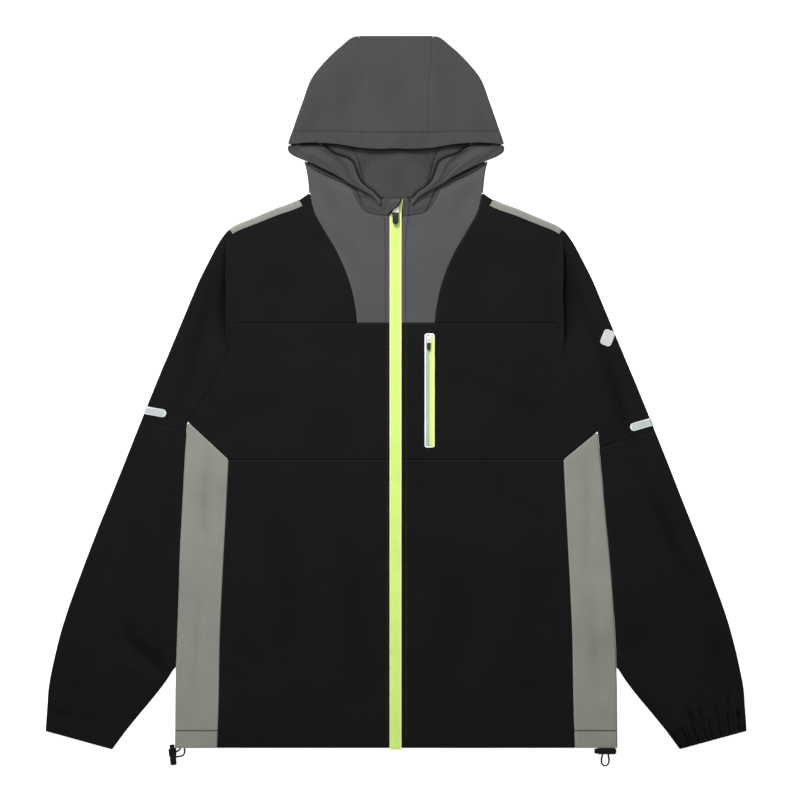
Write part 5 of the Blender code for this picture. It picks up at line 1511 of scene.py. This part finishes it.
def make_hood_side(side):
    levels = hood_levels()[::-1]
    seam = at_levels(HOOD_SEAM, np.minimum(levels, 460.5))
    seam[:, 1] = levels
    run = (levels[0] - levels) / (levels[0] - levels[-1])
    shares = run ** 0.9
    curve = along(HOOD_OUTLINE, shares)
    directions = directions_at(HOOD_OUTLINE, shares, HOOD_INSIDE)
    turn = (1 - eased(run / 0.06))[:, None]
    directions = unit(directions * (1 - turn) + np.array((0.0, 1.0)) * turn)
    start = fold_start(curve, directions, hood_height, side)
    across = spread(92.0, HOOD_STEP, last=False)
    top = between(seam, start, across)
    top[..., 1] += brim_shift(top[..., 0], top[..., 1])
    under = between(start, hood_under_seam(run), np.linspace(0, 1, 18))[:, 1:]
    sag = run[:, None] ** 2 * np.sin(np.pi * np.linspace(0, 1, 18)[None, 1:])
    under[..., 1] -= 5.0 * sag
    grids = wrap(top, directions, under, hood_height, side, thick=HOOD_THICK)
    dress("hood_side" + SUFFIX[side], *grids, finish["hood"], relief=hood_relief,
          seams=(0.3, 0.1, 0.45, 0.5))


def make_facing(side):
    rows = spread(190.0, 1.8)
    fold, seam = along(FACING_FOLD, rows), along(FACING_SEAM, rows)
    low, high = FACING_RAMP
    share = 1 - eased((fold[:, 0] - low) / (high - low))
    base = FACING_LIFT * share
    thickness = FACING_TIP_THICKNESS + (FACING_THICKNESS - FACING_TIP_THICKNESS) * share
    thickness = thickness * (1 - 0.5 * eased((42.0 - fold[:, 0]) / 20.0))
    directions = outward(fold, OPENING_INSIDE)
    start = fold - directions * (thickness / 2)[:, None]
    across = spread(38.0, 1.5, last=False)
    top = between(seam, start, across)
    climb = eased(across / 0.7)[None]
    crest = base + thickness
    begin, end = FACING_SEAM_RISE
    rise = eased((rows - begin) / (end - begin))
    seam_height = FACING_SEAM_HEIGHT * (1 - rise) + crest * rise
    heights = seam_height[:, None] * (1 - climb) + crest[:, None] * climb
    grids = wrap(top, directions, None, heights, side, base=base)
    x, y = grids[0][..., 0], grids[0][..., 1]
    # Painted shadow under the brim's edge and along the seam side of the facing.
    seam_side = np.zeros(x.shape)
    seam_side[:, :len(across)] = 0.9 * np.exp(-((across * 38.0 / 1.6) ** 2))
    shade = np.maximum(0.95 * np.exp(-np.maximum(below_brim(x, y), 0) / 2.6), seam_side)
    dress("hood_facing" + SUFFIX[side], *grids, finish["facing"], relief=facing_relief, shade=shade,
          seams=(0.05, 0.2, 0.5, 0.2), held="folded", hidden=no_relief)


def make_lip(side):
    lower = along(LIP_EDGE, np.linspace(0, 1, 46))
    upper = lower - outward(lower, OPENING_INSIDE) * LIP_DEPTH
    across = np.linspace(0, 1, 13)
    # Painted shade over the lip's inner part, leaving its edge light.
    lay("hood_lip" + SUFFIX[side], between(lower, upper, across), LIP_TOP, finish["facing"],
        side, relief=no_relief, seams=(0.2, 0.2, 0.1, 0.2),
        shade=0.9 * eased((across[None] - 0.12) / 0.2))


LINING_RIB = 1.9
FACING_SINK = 0.9


def from_facing(x, y):
    """Distance to the seam that joins the facing to the linings."""
    return line_distance(np.abs(x), y, along(FACING_SEAM, np.linspace(0, 1, 40)))[0]


def beside_facing(x, y):
    """The linings sink where the facing is sewn to them."""
    return -FACING_SINK * np.exp(-((from_facing(x, y) / 2.6) ** 2))


def lining_shade(x, y):
    """Painted shade on the cloth at the bottom of the hood's opening, beside the facing's seam and
    under the brim's edge.
    """
    beside = 0.9 * np.exp(-((from_facing(x, y) / 3.0) ** 2))
    return beside + np.exp(-np.maximum(below_brim(x, y), 0) / 4.5)


def lining_relief(x, y):
    """Fine slanted ribs, and a few soft waves."""
    ribs = 0.16 * np.cos(2 * np.pi * (np.abs(x) * 0.8 + y * 0.6) / LINING_RIB)
    return ribs + 0.25 * ripple(x, y, 24.0, 12) + beside_facing(x, y)


def make_side_lining(side):
    plan = between(through(SIDE_LINING_LOWER, np.linspace(0, 1, 90)),
                   through(SIDE_LINING_UPPER, np.linspace(0, 1, 90)), np.linspace(0, 1, 64))
    # Painted shade along the inner edge, where the side lining meets the mesh.
    inner_edge = 0.3 * np.exp(-((plan[..., 0] - plan[-1:, :, 0]) / 3.0) ** 2)
    lay("side_lining" + SUFFIX[side], plan, SIDE_LINING_TOP, finish["mesh"], side,
        relief=lining_relief, seams=(0.2,) * 4,
        shade=np.maximum(lining_shade(plan[..., 0], plan[..., 1]), inner_edge))


def back_lining_relief(x, y):
    folds = 0.35 * np.cos(x / 14.0) * np.sin(y / 9.0) + 0.2 * ripple(x, y, 30.0, 13)
    sides = 0.3 * np.exp(-((np.abs(x) - 40.0) / 2.5) ** 2)
    return folds - sides + beside_facing(x, y)


def lining_height(x, y):
    """The mesh lies lower at its sides, where it runs under the side linings."""
    return WALL + LAP + 1.0 - 0.9 * eased((np.abs(x) - out_at(LINING_BORDER, y) + 4.5) / 4.0)


def make_back_lining():
    shares = np.linspace(0, 1, 60)
    edge = through([(half, level) for level, half in BACK_LINING], shares)
    across = np.linspace(-1, 1, 70)
    plan = np.stack([edge[:, :1] * across[None], np.repeat(edge[:, 1:], 70, 1)], axis=-1)
    plan[..., 0] *= 1 + 0.075 * eased((plan[..., 1] - 262.0) / 30.0)
    # Painted shade at the sides, where the mesh runs under the side linings.
    border = out_at(LINING_BORDER, plan[..., 1])
    beside = 0.95 * np.exp(-np.maximum(border - np.abs(plan[..., 0]), 0) / 2.2)
    lay("hood_lining", plan, lining_height, finish["mesh"], relief=back_lining_relief,
        seams=(0.2,) * 4, shade=np.maximum(lining_shade(plan[..., 0], plan[..., 1]), beside))


# ---- zips -----------------------------------------------------------------------------

COIL_PITCH = 1.5
COIL_WIDTH = 1.7
TAPE_EDGE = 1.7
TAPE_EDGE_RISE = 0.18


def tape_height(x, y):
    return body_height(x, y) - ZIP_TOP_DROP


def tape_relief(x, y):
    """Fine coil beside the centre line, under the woven face."""
    coil = np.clip(1 - np.abs(x) / COIL_WIDTH, 0, 1)
    turns = 1 + np.cos(2 * np.pi * (y + 0.25 * np.abs(x)) / COIL_PITCH)
    return body_relief(x, y) + 0.12 * coil * turns


def make_zip_tapes():
    for side in (LEFT, RIGHT):
        y, inner, outer = np.array(TAPE[side]).T
        levels = np.arange(y[0], y[-1], 0.75)
        edges = [np.stack([np.interp(levels, y, e), levels], axis=-1) for e in (inner, outer)]
        lay("zip_tape" + SUFFIX[side], between(*edges, np.linspace(0, 1, 10)), tape_height,
            finish["tape"], side, relief=tape_relief, seams=(0.2, 0.2, None, 0.4))
        top = y[-1] - (6.0 if side == LEFT else 1.0)
        levels = np.linspace(y[0], top, 240)
        rim = np.interp(levels, y, outer) + 0.1
        edges = [np.stack([rim - width, levels], axis=-1) for width in (TAPE_EDGE, 0.0)]
        strip = raised(between(*edges, np.linspace(0, 1, 4)), tape_height, side)
        extra("zip_edge" + SUFFIX[side], strip + (0, 0, TAPE_EDGE_RISE), finish["tape_edge"])


def guard_relief(x, y):
    """A trough and a ridge along the guard, left of the zip."""
    trough, ridge = (np.exp(-(((x - at) / wide) ** 2)) for at, wide in ((-3.0, 0.9), (-5.2, 1.2)))
    return 0.25 * ridge - 0.5 * trough


def make_zip_guard():
    levels = levels_between(*GUARD_ENDS, 1.0)
    right = np.stack([np.full(len(levels), GUARD_HALF_WIDTH), levels], axis=-1)
    plan = between(right * (-1, 1), right, np.linspace(0, 1, 24))
    lay("zip_guard", plan, GUARD_TOP, finish["hood"], relief=guard_relief, seams=(0.3,) * 4)


# The fold of cloth over the slider's top: its slanted edge in the picture, its left side, and
# how it climbs over the slider.
GARAGE_EDGE = ((388.6, 213.8), (390.5, 211.9), (392.6, 209.9), (395.2, 208.0), (397.7, 206.0),
               (399.6, 202.9), (400.8, 200.2), (401.7, 197.9))
GARAGE_LEFT = 385.4
GARAGE_LOW, GARAGE_RISE = 5.3, 4.75


def garage_height(x, y):
    over = eased((x + 9.2) / 3.6) * (1 - eased((y - 245.8) / 5.5))
    folds = 0.5 * np.exp(-(((x + 6.6 - 0.1 * (y - 240)) / 0.9) ** 2))
    return GARAGE_LOW + GARAGE_RISE * over - folds


def make_zip_garage():
    shares = np.linspace(0, 1, 40)
    edge = through([at(*p) for p in GARAGE_EDGE], shares)
    left = np.stack([np.full(len(edge), at(GARAGE_LEFT, 0)[0]), edge[:, 1]], axis=-1)
    plan = between(edge, left, np.linspace(0, 1, 50) ** 1.4)
    # Painted shadow: a dark band along the slanted edge.
    from_edge = np.linalg.norm(plan - plan[:, :1], axis=-1)
    extra("zip_garage", raised(plan, garage_height), finish["hood"], thick=0.35, relief=no_relief,
          shade=1 - eased((from_edge - 1.2) / 0.8))


def extra(name, outer, surface, thick=0.3, relief=body_relief, shade=0.0):
    """A narrow piece that a node doesn't have, on the cloth's own creases."""
    outer = outer.copy()
    outer[..., 2] += relief(outer[..., 0], outer[..., 1])
    flat = np.zeros(outer.shape[:2])
    made = wall(name, outer, outer - (0, 0, thick), surface, flat + FAR_FROM_SEAMS, flat + shade)
    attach(made, ROOT)


def ring_plate(node, wide, long, border, radius, surface, lift, thick, steps=4):
    outside = rounded_outline(wide, long, radius)
    inside = rounded_outline(wide - 2 * border, long - 2 * border, max(0.4, radius - border))
    plan = between(outside, inside, np.linspace(0, 1, steps)).transpose(1, 0, 2)
    outer = raised(plan + POCKET_CENTRE, body_height) + (0, 0, lift + thick)
    dress(node, outer, outer - (0, 0, thick), surface, seams=(0.2, 0.2), ring=True,
          rests_on=["front_mid_r", "front_lower_r"])


def make_pocket():
    ring_plate("pocket_frame", *POCKET_SIZE, POCKET_BORDER, 3.0, finish["white_film"], LAP, 0.8)
    inside, length = (extent - 2 * POCKET_BORDER - 2 * LAP for extent in POCKET_SIZE)
    tape = inside - POCKET_WELT - LAP
    x, y = POCKET_CENTRE
    strips = (
        ("pocket_welt", POCKET_WELT, x - inside / 2 + POCKET_WELT / 2, "reflective"),
        ("pocket_tape", tape, x + inside / 2 - tape / 2, "tape"),
    )
    for name, width, centre, surface in strips:
        plan = rounded_plan(width, length, 0.8, 8, 1.0) + (centre, y)
        outer = raised(plan, body_height) + (0, 0, LAP + 0.6)
        dress(name, outer, outer - (0, 0, 0.5), finish[surface], seams=(0.15,) * 4,
              rests_on=["front_mid_r"])
    plan = rounded_plan(*POCKET_EDGE_SIZE, 0.6, 6, 1.5) + POCKET_EDGE_CENTRE
    strip = raised(plan, body_height) + (0, 0, LAP + 0.95)
    extra("pocket_edge", strip, finish["tape_edge"], thick=0.2)


# ---- stitching ------------------------------------------------------------------------

# Stitched lines: thread; pitch, length and radius in millimetres; points in the picture.
SEWN = (
    ("zip_sewn_l", "thread_lime", 3.4, 2.2, 0.28, ((386.8, 324), (386.8, 500), (386.9, 738))),
    ("zip_sewn_r", "thread_lime", 3.4, 2.2, 0.28, ((405.6, 324), (405.7, 500), (405.8, 738))),
    ("placket_sewn_l", "thread_dark", 2.7, 1.9, 0.42,
     ((380.8, 199), (381.0, 207), (384.4, 222), (385, 260), (385, 321))),
    ("placket_sewn_r", "thread_dark", 2.7, 1.9, 0.42,
     ((408.8, 198), (408, 212), (405.2, 240), (404.8, 260), (405, 321))),
    ("hem_sewn_l", "thread_grey", 3.4, 2.2, 0.25, ((222, 731), (300, 731), (386, 731))),
    ("hem_sewn_r", "thread_grey", 3.4, 2.2, 0.25, ((405, 731), (480, 730), (566, 728))),
    ("side_hem_l", "thread_dark", 2.0, 1.9, 0.32, ((175.4, 729.9), (200, 729.9), (220, 729.9))),
    ("side_hem_r", "thread_dark", 2.0, 1.9, 0.32, ((569, 729.9), (590, 729.9), (615.6, 729.9))),
    ("pocket_sewn_l", "thread_grey", 3.4, 2.2, 0.25,
     ((231, 521), (234, 550), (233, 586), (231, 622), (228, 653), (223.4, 660))),
    ("pocket_sewn_r", "thread_grey", 3.4, 2.2, 0.25,
     ((556, 520), (560, 536), (560, 590), (562.3, 626.5), (563.5, 650), (570, 657))),
    ("pocket_mouth_l", "thread_dark", 2.3, 2.2, 0.35, ((226.8, 550), (224, 595), (222.7, 622))),
    ("pocket_mouth_r", "thread_dark", 2.3, 2.2, 0.35, ((567, 562), (568, 589), (569, 631))),
    # A thick dark thread row along the garage's slanted edge, standing in for the shadow there.
    ("garage_sewn", "thread_dark", 1.9, 1.6, 0.66, GARAGE_EDGE),
    ("guard_tack_l", "thread_dark", 1.2, 1.2, 0.75,
     ((380.4, 200.6), (380.6, 198.2), (381.6, 197.4), (383.0, 197.2))),
    ("guard_tack_r", "thread_dark", 1.2, 1.2, 0.75,
     ((409.0, 201.5), (409.2, 198.6), (408.0, 197.3), (406.6, 196.9))),
    ("brim_sewn", "thread_grey", 3.0, 1.9, 0.28,
     ((294, 131), (330, 132), (362, 132.6), (395.5, 132.8), (429, 132.6), (462, 132), (497, 131))),
)


def collar_height(x, y):
    """Height of the stitched lines that run from the yokes up the collar corners."""
    return body_height(x, y) + (COLLAR_TOP_HEIGHT + 0.5 - BODY_HEIGHT) * eased((y - 226.0) / 12.0)


SEWN_ON = {
    "brim": (hood_height, hood_relief), "garage": (garage_height, no_relief),
    "placket": (collar_height, body_relief), "guard": (collar_height, no_relief),
}
STITCH_SIDES = 6


def stitch_row(name, surface, pitch, length, radius, points, height, relief):
    """Small rounded stitches along a line, sunk by half in the cloth."""
    line = through([at(*p) for p in points], np.linspace(0, 1, 30 * len(points)))
    total = np.linalg.norm(np.diff(line, axis=0), axis=1).sum()
    count = int(total / pitch)
    middle = resample(line, (np.arange(count) + 0.5) / count)
    ahead = unit(resample(line, np.minimum((np.arange(count) + 0.9) / count, 1)) - middle)
    across = np.stack([-ahead[:, 1], ahead[:, 0]], axis=-1)
    top = height(middle[:, 0], middle[:, 1]) + relief(middle[:, 0], middle[:, 1])
    stations = ((-0.5, 0.25), (-0.42, 0.8), (-0.2, 1.0), (0.2, 1.0), (0.42, 0.8), (0.5, 0.25))
    angles = 2 * np.pi * np.arange(STITCH_SIDES) / STITCH_SIDES
    rings = []
    for run, fat in stations:
        centre = middle + ahead * run * length
        for a in angles:
            flat = centre + across * (radius * fat * math.cos(a))
            rings.append(np.column_stack([flat, top + radius * (fat * math.sin(a) - 0.1)]))
    grid = np.array(rings).transpose(1, 0, 2).reshape(-1, 3)
    size = len(stations) * STITCH_SIDES
    one = []
    for k in range(len(stations) - 1):
        for j in range(STITCH_SIDES):
            a, b = k * STITCH_SIDES + j, k * STITCH_SIDES + (j + 1) % STITCH_SIDES
            one.append((a, b, b + STITCH_SIDES, a + STITCH_SIDES))
    last = size - STITCH_SIDES
    one += [(3, 2, 1, 0), (5, 4, 3, 0)]
    one += [(last, last + k, last + k + 1, last + k + 2) for k in (1, 3)]
    faces = (np.array(one)[None] + size * np.arange(count)[:, None, None]).reshape(-1, 4)
    made = mesh_object(name, grid, faces, surface)
    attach(made, ROOT)


def make_stitches():
    for name, thread, pitch, length, radius, points in SEWN:
        height, relief = SEWN_ON.get(name.split("_")[0], (body_height, body_relief))
        stitch_row(name, finish[thread], pitch, length, radius, points, height, relief)


# ---- kept hardware, cords -------------------------------------------------------------

# Solids kept as they are: finish, and how far their edges are rounded.
HARDWARE = {
    "zip_slider": ("metal", 0.35), "zip_pull": ("main_pull", 0.3),
    "pocket_slider": ("metal", 0.22), "pocket_pull": ("small_pull", 0.2),
    "cord_lock_l": ("plastic", 0.7), "cord_lock_r": ("plastic", 0.7),
}


def finish_hardware():
    for node, (surface, edge) in HARDWARE.items():
        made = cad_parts[node]
        made.data.materials.clear()
        made.data.materials.append(finish[surface])
        bevel = made.modifiers.new("edges", "BEVEL")
        bevel.width = edge * MM
        bevel.segments = 3
        bevel.limit_method = "ANGLE"
        bevel.angle_limit = math.radians(25)
        bevel.harden_normals = False


def make_cord(side):
    route = np.array(CORD_ROUTES[side], float)
    chord = fractions(route)
    points = smooth_points(chord, route, np.linspace(0, 1, CORD_POINTS))
    node = "cord_loop" + SUFFIX[side]
    curve = bpy.data.curves.new(node, "CURVE")
    curve.dimensions = "3D"
    spline = curve.splines.new("POLY")
    spline.points.add(len(points) - 1)
    for point, (x, y) in zip(spline.points, points):
        point.co = (x * MM, y * MM, CORD_Z * MM, 1)
    curve.bevel_depth = CORD_DIAMETER / 2 * MM
    curve.bevel_resolution = 4
    curve.use_fill_caps = True
    curve.materials.append(finish["cord"])
    made = bpy.data.objects.new(node + "_elastic", curve)
    bpy.context.scene.collection.objects.link(made)
    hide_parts(node)
    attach(made, ROOT)


# Narrow pieces, listed with the panel that carries them.
CARRIED = {
    "front_upper_l": ("shoulder_strip_l",), "front_upper_r": ("shoulder_strip_r",),
    "sleeve_upper_l": ("reflect_bar_l",), "sleeve_upper_r": ("reflect_bar_r", "sleeve_patch"),
    "hood_facing_l": ("hood_lip_l",), "hood_facing_r": ("hood_lip_r",),
    "front_lower_l": ("zip_tape_l", "zip_edge_l"), "front_lower_r": ("zip_tape_r", "zip_edge_r"),
    "zip_guard": ("zip_garage",),
    "front_mid_r": ("pocket_frame", "pocket_welt", "pocket_tape", "pocket_edge"),
}


def declare_cloth():
    carried = {name for group in CARRIED.values() for name in group}
    for node, (wide, long, area, held, rests_on) in sizes.items():
        if node in carried:
            continue


# ---- place, light and camera ----------------------------------------------------------

LENS, SENSOR = 85.0, 36.0
# The camera stands a little nearer than the scale alone puts it, and half a pixel aside.
CAMERA_EASE = 0.9985
CAMERA_SHIFT = PIXEL / 2
# Lights: name, place, size and power; the key rakes over the cloth from the hood's side.
LIGHTS = (("key", (-0.9, 2.7, 1.8), 0.68, 122.7), ("top", (0.0, 0.25, 0.9), 0.8, 3.9))
WORLD_LIGHT = 0.18
FLOOR_SIZE = 12.0
FLOOR_Z = -0.0006


def make_stage():
    scene = bpy.context.scene
    scene.view_settings.view_transform = "Standard"
    scene.view_settings.look = "None"
    world = bpy.data.worlds.new("studio")
    world.use_nodes = True
    ground = world.node_tree.nodes["Background"]
    ground.inputs["Color"].default_value = (1, 1, 1, 1)
    ground.inputs["Strength"].default_value = WORLD_LIGHT
    scene.world = world

    for name, place, size, power in LIGHTS:
        light = bpy.data.lights.new(name, "AREA")
        light.energy = power
        light.size = size
        lamp = bpy.data.objects.new(name, light)
        lamp.location = place
        lamp.rotation_euler = (-Vector(place)).to_track_quat("-Z", "Y").to_euler()
        scene.collection.objects.link(lamp)

    half = FLOOR_SIZE / 2
    mesh = bpy.data.meshes.new("floor")
    corners = [(x * half, y * half, FLOOR_Z) for x, y in ((-1, -1), (1, -1), (1, 1), (-1, 1))]
    mesh.from_pydata(corners, [], [(0, 1, 2, 3)])
    surface, _, shader = nodes_of("floor_white")
    shader.inputs["Base Color"].default_value = (0.85, 0.85, 0.85, 1)
    shader.inputs["Roughness"].default_value = 0.9
    shader.inputs["Emission Color"].default_value = (1, 1, 1, 1)
    shader.inputs["Emission Strength"].default_value = 0.9
    mesh.materials.append(surface)
    floor = bpy.data.objects.new("floor", mesh)
    scene.collection.objects.link(floor)
    floor.visible_diffuse = floor.visible_glossy = False

    camera = bpy.data.cameras.new("photo")
    camera.lens, camera.sensor_width = LENS, SENSOR
    camera.clip_end = 30.0
    eye = bpy.data.objects.new("photo", camera)
    x, y = at(PICTURE / 2, PICTURE / 2)
    far = PICTURE * PIXEL * CAMERA_EASE * LENS / SENSOR
    eye.location = ((x - CAMERA_SHIFT) * MM, (y + CAMERA_SHIFT) * MM, (far + BODY_HEIGHT) * MM)
    scene.collection.objects.link(eye)
    scene.camera = eye


def main():
    make_materials()
    make_back()
    make_collar_back()
    for side in (LEFT, RIGHT):
        make_fronts(side)
        make_yoke(side)
        make_collar_corner(side)
        make_side_panel(side)
        make_shoulder_strip(side)
        make_sleeve_upper(side)
        make_sleeve_lower(side)
        make_cuff(side)
        make_reflect_bar(side)
        make_hood_side(side)
        make_facing(side)
        make_lip(side)
        make_side_lining(side)
        make_cord(side)
    make_hood_centre()
    make_back_lining()
    make_zip_tapes()
    make_zip_guard()
    make_zip_garage()
    make_pocket()
    make_sleeve_patch()
    make_stitches()
    finish_hardware()
    declare_cloth()
    make_stage()


main()
